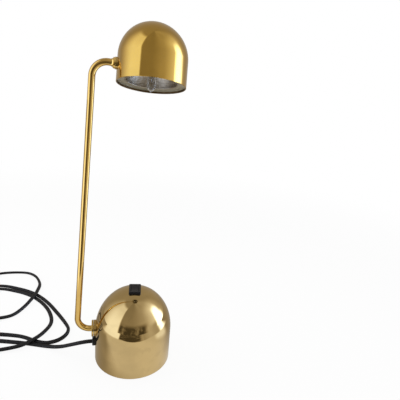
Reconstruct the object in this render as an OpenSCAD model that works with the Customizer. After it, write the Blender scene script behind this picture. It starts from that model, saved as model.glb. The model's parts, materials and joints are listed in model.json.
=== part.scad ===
// Desk lamp: domed brass base, one bent tube arm on two pivots, domed brass shade.
// Millimetres, +Z up. The origin is on the table, below the centre of the base.
// The arm's lower pivot is on the side of the base that faces -X.

/* [Base] */
// Outer radius of the base
base_r = 51.8; // [51:0.1:58]
// Height of the straight side, up to where the dome starts
base_side_h = 46.8; // [45:0.1:54]
// How much higher the base's dome is than a half ball
base_rise = 5.4; // [2:0.1:7]
// Thickness of the base's wall
base_wall = 1.2; // [1:0.1:1.6]
// Gap between the table and the rim of the base shell
rim_gap = 1; // [0.6:0.1:1.6]
// Thickness of the felt pad
pad_t = 2; // [1.8:0.1:2.6]
// Thickness of the steel base plate
plate_t = 2; // [1.8:0.1:3]
// Gap between the base plate and the shell
plate_clear = 0.2; // [0.1:0.05:0.4]
// How far the felt pad's edge stands back from the plate's edge
pad_inset = 1; // [0.5:0.1:3]
// Thickness of the brackets brazed in the shell
tab_t = 1.6; // [1.2:0.1:2]
// Height of the brackets brazed in the shell
tab_h = 12; // [9:0.5:14]
// Depth of the brackets brazed in the shell, inwards from its wall
tab_depth = 7.8; // [7.4:0.1:8]
// Width of the brackets brazed in the shell
tab_w = 10; // [8.5:0.5:11]
// Thread radius of the plate screws
plate_screw_r = 1.5; // [1.2:0.1:1.7]
// Length of the plate screws
plate_screw_l = 6; // [5:0.5:8]

/* [Lower pivot] */
// Height of the arm's lower pivot
hub_h = 47; // [45:0.5:50]
// Radius of the two discs of the lower pivot
hub_r = 11; // [10:0.5:13]
// Thickness of the bush's outer flange
hub_flange_t = 2; // [1.6:0.1:3]
// Thickness of the arm's disc
hub_disc_t = 2.4; // [2:0.1:4]
// Outer radius of the bush's thread
bush_r = 5; // [4.6:0.1:5.5]
// Radius of the bush's bore
bush_bore_r = 3.5; // [3.2:0.1:3.8]
// Length of the bush's thread inside the base's outer radius
bush_in = 9.5; // [8.5:0.5:10]
// Width across the flats of the bush's nut
bush_nut_af = 14; // [13:0.5:16]
// Thickness of the bush's nut
bush_nut_t = 3.5; // [2.5:0.1:3.8]
// Radius of the bush's washer
bush_washer_r = 9; // [8.5:0.5:10]
// Thickness of the bush's washer
bush_washer_t = 1; // [0.8:0.1:1.2]
// Radius of the cable's hole through the lower spigot
hub_hole_r = 2.2; // [1.8:0.1:2.3]

/* [Arm] */
// Outer radius of the arm's tube
tube_r = 3.9; // [3.5:0.1:4.5]
// Wall of the arm's tube
tube_wall = 1; // [0.8:0.1:1.4]
// Centreline radius of both bends
bend_r = 17; // [15:0.5:17.5]
// Distance from the base's side to the corner of the lower bend
low_stub = 23.7; // [23.5:0.1:30]
// Distance between the corners of the two bends
arm_len = 347; // [250:1:420]
// Lean of the arm towards the base, in degrees
arm_lean = 3.2; // [0:0.1:6]
// Distance from the corner of the upper bend to the shade's axis
arm_reach = 66; // [66:0.5:90]
// Radius of the sleeved cable in the arm
cable_r = 1.5; // [1.2:0.1:1.6]

/* [Upper pivot] */
// Radius of the shade bush's flange and of the ferrule's face
collar_r = 6.75; // [6.2:0.05:8]
// Thickness of the shade bush's flange
collar_flange_t = 1.6; // [1.4:0.1:3]
// Thickness of the ferrule's rim
ferrule_rim_t = 2; // [1.2:0.1:2.4]
// Length of the ferrule's neck, from its rim to the tube
ferrule_neck_l = 2.4; // [1.6:0.1:3]
// Outer radius of the shade bush's thread
shade_bush_r = 4; // [3.8:0.1:4.4]
// Radius of the shade bush's bore
shade_bore_r = 2.75; // [2.6:0.05:3]
// Length of the shade bush's thread inside the shade's outer radius
shade_bush_in = 7.5; // [6.5:0.1:7.8]
// Width across the flats of the shade bush's nut
shade_nut_af = 12; // [11:0.5:13]
// Thickness of the shade bush's nut
shade_nut_t = 3.2; // [2.5:0.1:3.3]
// Radius of the cable's hole through the upper spigot
collar_hole_r = 1.7; // [1.65:0.05:1.8]

/* [Pivot fits] */
// Gap between the faces that turn on each other
turn_gap = 0.3; // [0.2:0.05:0.6]
// Radial running clearance of a spigot in its bush
spigot_clear = 0.04; // [0.02:0.01:0.08]
// Thickness of the spring washers
spring_washer_t = 0.6; // [0.4:0.1:0.8]
// Thickness of the retaining rings
ring_t = 0.8; // [0.6:0.1:1]
// Width of the rings and spring washers outside their spigot
ring_w = 2; // [1.5:0.1:2.2]
// Depth of the retaining rings' grooves
groove_depth = 0.4; // [0.3:0.05:0.6]
// Length of a spigot past its retaining ring
spigot_tail = 1.6; // [1:0.1:2]
// Length of cable that sticks out of a spigot
cable_tail = 1; // [0.6:0.1:1.4]
// Gap between the cable's turning end and its fixed end
cable_gap = 0.3; // [0.3:0.05:0.5]

/* [Shade] */
// Outer radius of the shade
shade_r = 40; // [39.5:0.1:46]
// Height of the shade's straight side
shade_side_h = 29.6; // [28:0.1:34]
// Thickness of the shade's wall
shade_wall = 1; // [0.8:0.1:1.3]
// Height of the pivot above the shade's rim
collar_h = 19.3; // [18.5:0.1:22]
// Tilt of the shade as it stands, its top away from the front, in degrees
shade_tilt = 14; // [-60:1:60]

/* [Reflector] */
// Thickness of the reflector's sheet
refl_t = 0.8; // [0.6:0.1:1]
// Distance of the reflector's flange behind the shade's rim
refl_set = 4.1; // [3:0.1:5]
// Radius of the bowl's mouth
mouth_r = 29; // [27:0.5:30]
// Depth of the bowl behind its flange
bowl_depth = 23.7; // [22:0.1:25]
// Radius of the hole at the bowl's top
bowl_hole_r = 11.2; // [11:0.1:12]
// Width and height of the raised border round the bowl's mouth
bead_w = 1.6; // [1:0.1:2]
// Gap between the reflector and the shade's wall
refl_clear = 0.2; // [0.1:0.05:0.4]
// Thickness of the clips that hold the flange
clip_t = 0.8; // [0.6:0.1:1.2]
// Height of the clips that hold the flange
clip_h = 7; // [5:0.5:9]
// Depth of the clips, inwards from the shade's wall
clip_depth = 4.5; // [3:0.5:6]

/* [Bulb and lampholder] */
// Outer radius of the bulb's glass
bulb_r = 5.25; // [4.8:0.05:6]
// Wall of the bulb's glass
bulb_wall = 1; // [0.7:0.1:1.2]
// How far the bulb's tip stands out below the shade's rim
tip_drop = 8; // [6:0.1:10]
// Length of the bulb's tip past its round end
tip_l = 1.2; // [0.8:0.1:2]
// Length of the bulb from its tip to the top of its pinch
bulb_l = 33; // [31:0.1:35]
// Height of the flat pinch
pinch_h = 7; // [6:0.1:8]
// Width of the flat pinch
pinch_w = 9.4; // [8.6:0.1:9.8]
// Thickness of the flat pinch
pinch_t = 2.8; // [2.4:0.1:3.2]
// Distance between the bulb's two pins
pin_pitch = 6.35; // [6.2:0.05:6.5]
// Radius of the bulb's pins
pin_r = 0.625; // [0.5:0.025:0.65]
// Length of the pins past the pinch
pin_l = 7.5; // [7:0.1:8]
// Radius of the wires that carry the filament
support_r = 0.3; // [0.25:0.05:0.4]
// Height of the filament above the bulb's tip
filament_h = 14; // [12:0.5:16]
// Radius of the filament's coil
filament_r = 0.7; // [0.5:0.1:0.9]
// Length of the lampholder across the shade
holder_l = 17; // [16.5:0.5:18]
// Width of the lampholder
holder_w = 13; // [11:0.5:13.5]
// Height of the lampholder
holder_h = 10; // [9.6:0.1:11]
// Gap between the pinch and the lampholder
holder_gap = 0.6; // [0.3:0.1:0.9]
// Side of the square contacts in the lampholder
contact_w = 2.8; // [2.4:0.1:3]
// Distance between the lampholder's two screws
holder_screw_pitch = 12; // [11.5:0.1:12.4]
// Thread radius of the lampholder's screws
holder_screw_r = 1.5; // [1.2:0.1:1.6]
// Thickness of the lampholder's bracket
bracket_t = 1.2; // [1:0.1:1.4]
// Width of the lampholder's bracket
bracket_w = 14; // [13.5:0.5:16]

/* [Switch] */
// Width of the switch's bezel
bezel_w = 16; // [15.5:0.1:17]
// Length of the switch's bezel
bezel_l = 22; // [21.5:0.1:24]
// Height of the bezel above the dome's top
bezel_h = 2.2; // [1.6:0.1:3]
// Turn of the switch about the dome's axis, in degrees
switch_turn = -6; // [-30:1:30]
// Width of the switch's housing
housing_w = 13; // [12.8:0.1:13.4]
// Length of the switch's housing
housing_l = 19.2; // [19:0.1:19.8]
// Depth of the switch's housing below the dome's top
housing_d = 24; // [23:0.5:26]
// Wall of the switch's housing
housing_wall = 0.9; // [0.8:0.1:1]
// Gap round the housing in the dome's cut-out
cutout_clear = 0.2; // [0.1:0.05:0.3]
// Gap round the rocker
rocker_clear = 0.3; // [0.2:0.05:0.4]
// Depth of the rocker's pivot below the dome's top
rocker_pivot_d = 1.5; // [1.2:0.1:1.8]
// Radius of the rocker's pivot pins
rocker_pin_r = 1; // [0.8:0.1:1.2]
// Radial running clearance of the rocker's pins
rocker_pin_clear = 0.04; // [0.02:0.01:0.08]
// Tip of the rocker to each side of its middle, in degrees
rocker_tip = 10; // [8:0.5:11]
// Slope of each half of the rocker's face, in degrees
rocker_slope = 11; // [8:0.5:13]
// Share of its own tip that the contact blade tips for each degree of the rocker
blade_ratio = 0.6; // [0.4:0.05:0.6]
// Distance from the rocker's pivot to the plunger's tip
plunger_reach = 8; // [7.6:0.1:8.4]
// Radius of the plunger
plunger_r = 1.1; // [0.9:0.05:1.2]
// Gap between the plunger's tip and the contact blade
plunger_gap = 0.3; // [0.3:0.05:0.5]
// Thickness of the contact blade
blade_t = 0.5; // [0.4:0.05:0.6]
// Half the length of the contact blade
blade_half_l = 6.4; // [6:0.1:6.8]
// Width of the contact blade
blade_w = 3; // [2.4:0.1:4]
// Width of the switch's terminals
terminal_w = 4.8; // [4:0.1:6.3]
// Thickness of the switch's terminals
terminal_t = 0.8; // [0.5:0.05:1]
// Length of the terminals below the switch's housing
terminal_l = 7; // [5:0.5:8]

/* [Transformer] */
// Width of the transformer's core, as a share of the base's inner radius
core_share = 1.304; // [1.2:0.002:1.32]
// Height of the transformer's core
core_h = 55; // [50:0.5:56]
// Thickness of the stack of laminations, as a share of the base's inner radius
stack_share = 0.652; // [0.56:0.002:0.67]
// Distance of the transformer's middle from the base's axis, away from the arm
core_x = 4; // [3.5:0.1:4.5]
// Thickness of the windings, as a share of the base's inner radius
winding_share = 0.158; // [0.12:0.002:0.166]
// Wall of the bobbin
bobbin_wall = 1.2; // [1:0.1:1.4]
// Gap between the transformer's own pieces
coil_clear = 0.2; // [0.1:0.05:0.3]
// Width of the clamp over the core
clamp_w = 18; // [14:0.5:20]
// Thickness of the clamp's strap
clamp_t = 1; // [0.8:0.1:1.2]
// Length of the clamp's feet
clamp_foot = 9; // [8.5:0.1:9.2]
// Thread radius of the clamp's screws
clamp_screw_r = 2; // [1.5:0.1:2.1]
// Width across the flats of the clamp's nuts
clamp_nut_af = 7; // [6.5:0.1:7.4]
// Thickness of the clamp's nuts
clamp_nut_t = 3.2; // [2.4:0.1:4]

/* [Terminal block] */
// Length of the terminal block
block_l = 22; // [20:0.5:23]
// Width of the terminal block
block_w = 16; // [15:0.5:16.5]
// Height of the terminal block
block_h = 13; // [12:0.5:14]
// Gap between the block's front corners and the base shell
block_gap = 2.8; // [2.2:0.1:4]
// Distance between its two poles
pole_pitch = 8; // [7:0.1:8.4]
// Radius of its wire holes
wire_hole_r = 1.6; // [1.4:0.1:1.8]
// Radius of its clamping screws
block_screw_r = 1.7; // [1.4:0.1:1.9]

/* [Mains side] */
// Height of the cord's gland
gland_h = 26; // [25:0.5:28]
// Radius of the gland's flange
gland_r = 6; // [5.6:0.1:6.5]
// Thickness of the gland's flange outside the base
gland_t = 3.9; // [3:0.1:5]
// Radius of the gland's barrel in the wall
gland_barrel_r = 4.6; // [4.3:0.1:5]
// Length of the gland's barrel inside the base's outer radius
gland_in = 9; // [7:0.5:9.5]
// Width of the flat power cord
cord_w = 5.8; // [5.2:0.1:6.2]
// Thickness of the flat power cord
cord_t = 3.6; // [3.2:0.1:4]
// Gap round the cord in the gland
cord_clear = 0.1; // [0.1:0.05:0.2]
// Radius of a single insulated lead
lead_r = 0.9; // [0.7:0.05:1]
// Radius of the thermal fuse
fuse_r = 2; // [1.5:0.1:2.2]
// Length of the thermal fuse
fuse_l = 9; // [7:0.5:10]

/* [Plug] */
// Length of the plug's tapered tail
plug_tail_l = 12; // [10:0.5:16]
// Length of the plug's body
plug_l = 34; // [30:0.5:36]
// Width of the plug's body
plug_w = 35; // [30:0.5:36]
// Thickness of the plug's body
plug_t = 13.7; // [12:0.1:14]
// Distance between the plug's pins
plug_pitch = 18.6; // [17.5:0.1:19.2]
// Radius of the plug's pins
plug_pin_r = 2; // [1.9:0.05:2.4]
// Length of the plug's pins outside its body
plug_pin_l = 19; // [17:0.5:19.5]

/* [Hidden] */
$fn = 96;

// Overlap of a cutting shape past the face that it cuts
cut = 1;
// Clearance of a screw in its hole, and of a tab in its slot
fit_gap = 0.05;
// Step of a rod's thicker end, where it laps over a bend
lap_step = 0.02;

// Base
inner_r = base_r - base_wall;
dome_top = base_side_h + base_r + base_rise;
plate_r = inner_r - plate_clear;
// Place in plan that follows the base's inner radius
function plan(x, y) = [x * inner_r, y * inner_r, 0];
plate_z = pad_t;
plate_top = pad_t + plate_t;
tab_angles = [90, 210, 330];
plate_screw_at = inner_r - tab_depth / 2 - 0.4;

// Lower pivot, as distances from the base's axis
hub_face = base_r + hub_flange_t;
disc_face = hub_face + turn_gap;
disc_back = disc_face + hub_disc_t;
spigot_r = bush_bore_r - spigot_clear;
bush_end = base_r - bush_in;
hub_washer_at = bush_end - turn_gap;
hub_ring_at = hub_washer_at - spring_washer_t;
hub_spigot_end = hub_ring_at - ring_t - spigot_tail;
socket_low = disc_face + 0.6;
washer_at = sqrt(inner_r * inner_r - bush_washer_r * bush_washer_r) - fit_gap;

// Arm: the corner of the lower bend, the corner of the upper bend and the point on the
// shade's axis at the height of the upper pivot
corner_x = base_r + low_stub;
low_tangent = round(1000 * bend_r * tan((90 + arm_lean) / 2)) / 1000;
upper_corner = [-corner_x + arm_len * sin(arm_lean), 0, hub_h + arm_len * cos(arm_lean)];
collar = upper_corner + arm_reach * [cos(arm_lean), 0, -sin(arm_lean)];

// Upper pivot, as distances from the shade's axis
shade_inner_r = shade_r - shade_wall;
collar_face = shade_r + collar_flange_t;
ferrule_face = collar_face + turn_gap;
collar_spigot_r = shade_bore_r - spigot_clear;
shade_bush_end = shade_r - shade_bush_in;
collar_washer_at = shade_bush_end - turn_gap;
collar_ring_at = collar_washer_at - spring_washer_t;
collar_spigot_end = collar_ring_at - ring_t - spigot_tail;
socket_high = ferrule_face + 0.8;
bracket_inner_r = shade_inner_r - bracket_t;
shade_nut_corner = shade_nut_af / 2 / cos(30);
shade_nut_at = sqrt(bracket_inner_r * bracket_inner_r - shade_nut_corner * shade_nut_corner)
  - fit_gap;

// Shade's own heights, from the pivot
rim_z = -collar_h;
dome_z = rim_z + shade_side_h;
flange_top = rim_z + refl_set + refl_t;
bowl_top = flange_top + bowl_depth;
bowl_z = (bowl_hole_r * bowl_hole_r + bowl_top * bowl_top - mouth_r * mouth_r
  - flange_top * flange_top) / (2 * bowl_depth);
bowl_r = sqrt(mouth_r * mouth_r + (flange_top - bowl_z) * (flange_top - bowl_z));
clip_angles = [0, 120, 240];

// Bulb and lampholder, as heights from the pivot
tip_z = rim_z - tip_drop;
end_z = tip_z + tip_l + bulb_r;
pinch_top = tip_z + bulb_l;
pinch_low = pinch_top - pinch_h;
pins_top = pinch_top + pin_l;
filament_z = tip_z + filament_h;
holder_low = pinch_top + holder_gap;
holder_top = holder_low + holder_h;
bracket_top = holder_top + bracket_t;
pin_hole_r = pin_r + 0.07;
lamp_cable_at = collar_spigot_end - cable_tail - cable_gap;
cable_up_x = 3.6 - lamp_cable_at;

// Switch, as heights from the dome's top
pivot_z = -rocker_pivot_d;
rocker_w = housing_w - 2 * housing_wall - 2 * rocker_clear;
rocker_half_l = housing_l / 2 - housing_wall - rocker_clear;
plunger_tip_z = pivot_z - plunger_reach;
blade_z = plunger_tip_z - plunger_gap;
blade_button_y = blade_half_l - 1;
blade_button_t = 0.4;
blade_button_r = 0.9;
blade_rest = -blade_ratio * rocker_tip;
fixed_contact_z = blade_z - blade_t - blade_button_t
  - blade_half_l * sin(blade_ratio * rocker_tip) - turn_gap;
bead_r = 0.9 * blade_t;
post_z = blade_z - blade_t - bead_r - turn_gap;
floor_t = 1.2;
tabs_z = -housing_d - terminal_l;

// Transformer
core_w = core_share * inner_r;
stack_t = stack_share * inner_r;
winding_t = winding_share * inner_r;
leg = core_w / 3;
yoke = core_w / 6;
window_h = core_h - 2 * yoke;
coil_z = plate_top + yoke + window_h / 2;
bobbin_in_x = leg / 2 + coil_clear;
bobbin_in_y = stack_t / 2 + coil_clear;
coil_in_x = bobbin_in_x + bobbin_wall + coil_clear / 2;
coil_in_y = bobbin_in_y + bobbin_wall + coil_clear / 2;
coil_out_x = coil_in_x + winding_t;
coil_out_y = coil_in_y + winding_t;
bobbin_h = window_h - 2 * coil_clear;
chamber_h = (bobbin_h - 3 * bobbin_wall) / 2;
coil_h = chamber_h - coil_clear;
clamp_x = core_w / 2 + coil_clear / 2;
clamp_z = plate_top + core_h + coil_clear / 2;
clamp_screw_at = clamp_x + clamp_t + clamp_foot / 2;

// Mains side, as distances from the base's axis
gland_face = base_r + gland_t;
gland_end = base_r - gland_in;
block_y = sqrt(inner_r * inner_r - block_l * block_l / 4) - block_w / 2 - block_gap;
block_z = plate_top + block_h / 2;
fuse_at = [core_x + 6, coil_out_y + fuse_r + 1.2, coil_z + 3];

// Sides and rings of the swept tubes
lead_sides = 6;
cord_sides = 8;
lead_steps = 4;
cord_steps = 2;

// Route of the power cord from the gland to the plug: across, back, height of its middle,
// and its roll in degrees, 0 lying flat and 90 standing on its edge. It runs out to the
// left and lies in three loose turns, each turn's right-hand end nearer to the base.
cord_route = [
  [-gland_face, 0, gland_h, 0], [-63, 0, 25.8, 0], [-71, 1, 24.2, 0], [-79, 3.8, 20.8, 0],
  [-87.5, 8.3, 16, 0], [-97, 14, 10.4, 0], [-108, 20.7, 5.6, 0], [-122, 28.2, 2.6, 0],
  [-140, 35.3, 2, 0], [-162, 42, 2, 10], [-207, 52, 2.6, 45], [-264, 57, 3, 90],
  [-308, 84, 3, 90], [-314, 145, 3, 90], [-278, 194, 2.7, 60], [-222, 204, 2, 15],
  [-184, 190, 2, 0], [-155, 170, 2, 0], [-132, 142, 2, 0], [-114, 111, 2, 0],
  [-102, 88, 2.3, 20], [-94.5, 71.5, 2.6, 40], [-92.1, 62.2, 2.9, 70],
  [-93.2, 52.8, 2.9, 70], [-97.8, 44.4, 2.9, 60], [-105.3, 38.4, 2.6, 40],
  [-114.4, 35.6, 2.3, 20], [-122.6, 36.1, 2, 0], [-135.5, 41.2, 2, 0], [-161, 56, 2, 0],
  [-207, 66, 2.6, 45], [-258, 69, 3, 90], [-294, 88, 3, 90], [-302, 140, 3, 90],
  [-270, 183, 2.7, 60], [-221, 193.5, 2, 15], [-187, 182, 2, 0], [-160.5, 164.5, 2, 0],
  [-139.5, 140, 2, 0], [-125, 112, 2, 0], [-119, 82, 3, 0], [-127, 54, 6, 0],
  [-141, 37, 6.6, 0], [-160, 28, 5, 0], [-207, 27, 2.1, 0], [-268, 34, 2.7, 60],
  [-320, 74, 3, 90], [-328, 143, 3, 90], [-292, 214, 3, 80], [-236, 247, 2.2, 20],
  [-190, 250, 2.2, 30], [-166, 235, 2.8, 60], [-152.5, 204, 3.6, 60], [-152, 174, 6.3, 15],
  [-157, 150, 6.1, 0], [-167, 128, 3.3, 0], [-179.5, 110.5, 2.2, 0], [-196, 101.8, 4, 0],
  [-207.5, 100.2, 6.2, 0], [-216, 100, 6.9, 0]
];
plug_at = cord_route[len(cord_route) - 1];

// Routes of the leads in the base, each with its ends on what it connects
function at_switch_point(y, z) = [
  -y * sin(switch_turn), y * cos(switch_turn), dome_top + z
];
tab_far = at_switch_point(blade_button_y, tabs_z);
tab_mid = at_switch_point(0, tabs_z);
pole_x = block_l / 2;
pole_in = pole_x - 6;
pole_front = -block_y - pole_pitch / 2;
pole_rear = -block_y + pole_pitch / 2;
sheath_end = [-pole_x - 9, -block_y, block_z];
inner_route = [
  [-gland_face, 0, gland_h], [-gland_end, 0, gland_h], [-gland_end + 4, -1, gland_h],
  plan(-0.71, -0.14) + [0, 0, gland_h - 2], plan(-0.69, -0.32) + [0, 0, gland_h - 6],
  plan(-0.65, -0.49) + [0, 0, gland_h - 11], plan(-0.55, -0.65) + [0, 0, block_z + 1.5],
  sheath_end - [3, 1, 0], sheath_end
];
core_front = [
  sheath_end - [0, lead_r + fit_gap, 0], sheath_end + [4, -3, 0],
  [-pole_x - 1, pole_front, block_z], [-pole_in, pole_front, block_z]
];
core_rear = [
  sheath_end + [0, lead_r + fit_gap, 0], sheath_end + [4, 3, 0],
  [-pole_x - 1, pole_rear, block_z], [-pole_in, pole_rear, block_z]
];
primary_z = coil_z - (coil_h + bobbin_wall) / 2;
secondary_z = coil_z + (coil_h + bobbin_wall) / 2;
switch_lead = [
  [pole_in, pole_front, block_z], [pole_x + 3, pole_front, block_z],
  plan(0.455, -0.77) + [0, 0, 14], plan(0.615, -0.65) + [0, 0, 24],
  plan(0.63, -0.59) + [0, 0, 40], plan(0.555, -0.515) + [0, 0, 54],
  plan(0.355, -0.335) + [0, 0, clamp_z + 4.5], [6, -6, clamp_z + 5],
  tab_mid - [0, 1.5, 4.5], tab_mid - [0, 0, 2], tab_mid
];
fuse_lead = [
  tab_far, tab_far - [0, 0, 2.5], tab_far + [1.5, 3, -5.5],
  plan(0.14, 0.355) + [0, 0, clamp_z + 3.5], [fuse_at.x, fuse_at.y - 3.2, clamp_z - 1],
  [fuse_at.x, fuse_at.y, clamp_z - 7],
  fuse_at + [0, 0, fuse_l / 2 + 3], fuse_at + [0, 0, fuse_l / 2 + fit_gap]
];
winding_lead = [
  fuse_at - [0, 0, fuse_l / 2 + fit_gap], fuse_at - [0, 0, fuse_l / 2 + 3],
  [fuse_at.x, coil_out_y + 2.4, primary_z + 0.8], [fuse_at.x, coil_out_y + 1.2, primary_z],
  [fuse_at.x, coil_out_y + fit_gap, primary_z]
];
neutral_lead = [
  [pole_in, pole_rear, block_z], [pole_x + 3, pole_rear, block_z],
  [pole_x + 5.5, -coil_out_y - 4.5, block_z + 5],
  [core_x + 8, -coil_out_y - 2.4, primary_z - 1.2], [core_x + 7, -coil_out_y - 1.2, primary_z],
  [core_x + 7, -coil_out_y - fit_gap, primary_z]
];
cable_start = hub_spigot_end - cable_tail - cable_gap;
cable_side_x = -(core_w / 2 - core_x + 1.2 + clamp_t + cable_r);
secondary_route = [
  [-cable_start, 0, hub_h], [-cable_start + 1.4, 0.2, hub_h],
  [cable_side_x - 0.4, 2.4, hub_h], [cable_side_x, 6, hub_h],
  [cable_side_x, 14, hub_h - 1], [cable_side_x + 3, 20, secondary_z + 1],
  [core_x - coil_out_x - 4, 20, secondary_z], [core_x - coil_out_x - fit_gap, 20, secondary_z]
];
// Routes of the leads in the shade
lamp_cable = [
  [-lamp_cable_at, 0, 0], [-lamp_cable_at + 0.6, 0, 0], [cable_up_x - 2, 0, 0.5],
  [cable_up_x - 0.6, 0, 1.9], [cable_up_x, 0, 4.4], [cable_up_x, 0, holder_top - 2],
  [cable_up_x, 0, bracket_top + 1.5], [cable_up_x + 2, 0, bracket_top + 4.5],
  [cable_up_x + 6, 0, bracket_top + 6], [-10, 0, bracket_top + 6], [-7, 0, bracket_top + 6]
];
function lamp_lead(side) = [
  [-7, side * (lead_r * 0.8 + fit_gap), bracket_top + 6],
  [-4, side * 1.6, bracket_top + 5.6], [-1, side * 2.8, bracket_top + 3],
  [0, side * pin_pitch / 2, bracket_top + 0.5], [0, side * pin_pitch / 2, holder_top]
];

// Smooth curve through points, with steps rings to each span
function span(a, b, c, d, t) = 0.5 * (
  2 * b + (c - a) * t + (2 * a - 5 * b + 4 * c - d) * t * t
  + (3 * b - a - 3 * c + d) * t * t * t
);
function smooth(p, steps) = [
  for (i = [0 : len(p) - 2], j = [0 : steps - 1])
    span(p[max(i - 1, 0)], p[i], p[i + 1], p[min(i + 2, len(p) - 1)], j / steps),
  p[len(p) - 1]
];
function unit(v) = v / norm(v);
function place(q) = [q.x, q.y, q.z];
function roll_of(q) = len(q) > 3 ? q[3] : 0;

// Ring of points round one point of a path: side and rise are square to the path
function tube_ring(q, side, rise, w, t, sides) = [
  for (k = [0 : sides - 1])
    let (
      a = 360 * k / sides, r = roll_of(q),
      u = side * cos(r) + rise * sin(r), v = rise * cos(r) - side * sin(r)
    )
    place(q) + u * (w / 2 * cos(a)) + v * (t / 2 * sin(a))
];

// Tube of width w and thickness t swept along points; ref is a direction that the path
// never takes, and t is measured in its plane
module swept(points, w, t, sides, steps, ref) {
  path = smooth(points, steps);
  last = len(path) - 1;
  rings = [
    for (i = [0 : last])
      let (
        ahead = unit(place(path[min(i + 1, last)]) - place(path[max(i - 1, 0)])),
        side = unit(cross(ahead, ref)), rise = cross(side, ahead)
      )
      tube_ring(path[i], side, rise, w, t, sides)
  ];
  skin = [
    for (i = [0 : last - 1], k = [0 : sides - 1])
      let (a = i * sides + k, b = i * sides + (k + 1) % sides)
      each [[a, a + sides, b], [b, a + sides, b + sides]]
  ];
  near_cap = [for (k = [1 : sides - 2]) [0, k, k + 1]];
  far = last * sides;
  far_cap = [for (k = [1 : sides - 2]) [far, far + k + 1, far + k]];
  polyhedron(points = [for (r = rings) each r], faces = concat(skin, near_cap, far_cap));
}

// Least gap of the power cord to itself, measured on points of its middle line: beside
// itself in plan, or over itself in height
gap_steps = 4;
gap_skip = 12;
gap_line = smooth(cord_route, gap_steps);
function across(q) = cord_w * pow(cos(roll_of(q)), 2) + cord_t * pow(sin(roll_of(q)), 2);
function upright(q) = cord_t * pow(cos(roll_of(q)), 2) + cord_w * pow(sin(roll_of(q)), 2);
function gap_between(p, q) = max(
  abs(p.z - q.z) - (upright(p) + upright(q)) / 2,
  norm([p.x - q.x, p.y - q.y]) - (across(p) + across(q)) / 2
);
least_gap = min([
  for (i = [0 : len(gap_line) - 1 - gap_skip], j = [i + gap_skip : len(gap_line) - 1])
    gap_between(gap_line[i], gap_line[j])
]);
cord_length = [for (i = [1 : len(gap_line) - 1])
  norm(place(gap_line[i]) - place(gap_line[i - 1]))] * [for (i = [1 : len(gap_line) - 1]) 1];
echo(least_gap_of_the_cord_to_itself = least_gap);
echo(length_of_the_cord = cord_length);

// Frames: the local Z of the pivots points outwards, along the pivot's axis
module at_hub() { translate([0, 0, hub_h]) rotate([0, -90, 0]) children(); }
module at_top() { translate(collar) rotate([0, arm_lean, 0]) children(); }
module at_collar() { at_top() rotate([0, -90, 0]) children(); }
module in_shade() { at_top() rotate([-shade_tilt, 0, 0]) children(); }
module at_gland() { translate([0, 0, gland_h]) rotate([0, -90, 0]) children(); }
module at_switch() { translate([0, 0, dome_top]) rotate([0, 0, switch_turn]) children(); }
module at_rocker(angle) {
  at_switch() translate([0, 0, pivot_z]) rotate([angle, 0, 0]) children();
}
module at_plug() { translate(place(plug_at)) rotate([0, -90, 0]) children(); }

// Shapes that several pieces share
module ring(r_out, r_in, h) {
  difference() {
    cylinder(r = r_out, h = h);
    translate([0, 0, -cut]) cylinder(r = r_in, h = h + 2 * cut);
  }
}
module hexagon(af, h) { cylinder(r = af / 2 / cos(30), h = h, $fn = 6); }
module soft_rect(w, l, r) {
  square([w - 2 * r, l], center = true);
  square([w, l - 2 * r], center = true);
  for (x = [-1, 1], y = [-1, 1]) translate([x * (w / 2 - r), y * (l / 2 - r)]) circle(r);
}
module centred_box(w, l, z_low, z_high) {
  translate([-w / 2, -l / 2, z_low]) cube([w, l, z_high - z_low]);
}
// Half outline of a straight side with a round dome on it
module dome_outline(r, low, side_top) {
  translate([0, low]) square([r, side_top - low]);
  intersection() {
    translate([0, side_top]) circle(r);
    translate([0, side_top]) square(r);
  }
}
// The same with a dome that is rise higher than a half ball: a larger arc leaves the side
// and a smaller one closes the top
module raised_outline(r, low, side_top, rise) {
  turn = 45;
  lap = 0.01;
  offset_r = rise / (1 + tan(turn) - 1 / cos(turn));
  large = r + offset_r;
  small = large - offset_r / cos(turn);
  lift = offset_r * tan(turn);
  top = lift + small * sin(turn);
  translate([0, low]) square([r, side_top - low]);
  translate([0, side_top]) {
    intersection() {
      translate([-offset_r, 0]) circle(large);
      square([r, top]);
    }
    intersection() {
      translate([0, lift]) circle(small);
      translate([0, top - lap]) square(r);
    }
  }
}
module base_solid(r, low) {
  rotate_extrude() raised_outline(r, low, base_side_h, base_rise);
}
module shade_solid(r, low) { rotate_extrude() dome_outline(r, low, dome_z); }
// Countersunk screw that points up, its head's flat face at z 0
module sunk_screw(r, h, gap) {
  cylinder(r1 = 2 * r + gap, r2 = r + gap, h = r);
  cylinder(r = r + gap, h = h);
}

module base_shell() {
  color([0.80, 0.68, 0.42])
  difference() {
    base_solid(base_r, rim_gap);
    base_solid(inner_r, rim_gap - cut);
    at_hub() translate([0, 0, base_r / 2]) cylinder(r = bush_r + fit_gap, h = base_r);
    at_gland() translate([0, 0, base_r / 2]) cylinder(r = gland_barrel_r + fit_gap, h = base_r);
    at_switch() centred_box(
      housing_w + 2 * cutout_clear, housing_l + 2 * cutout_clear, -housing_d, bezel_h + cut
    );
  }
}

module at_plate_screws() {
  for (a = tab_angles) rotate([0, 0, a]) translate([plate_screw_at, 0, plate_z]) children();
}
module at_clamp_screws() {
  for (s = [-1, 1]) translate([core_x + s * clamp_screw_at, 0, plate_z]) children();
}

module base_plate() {
  color([0.55, 0.56, 0.58])
  difference() {
    translate([0, 0, plate_z]) cylinder(r = plate_r, h = plate_t);
    at_plate_screws() sunk_screw(plate_screw_r, plate_t + cut, fit_gap);
    at_clamp_screws() sunk_screw(clamp_screw_r, plate_t + cut, fit_gap);
  }
}

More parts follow.
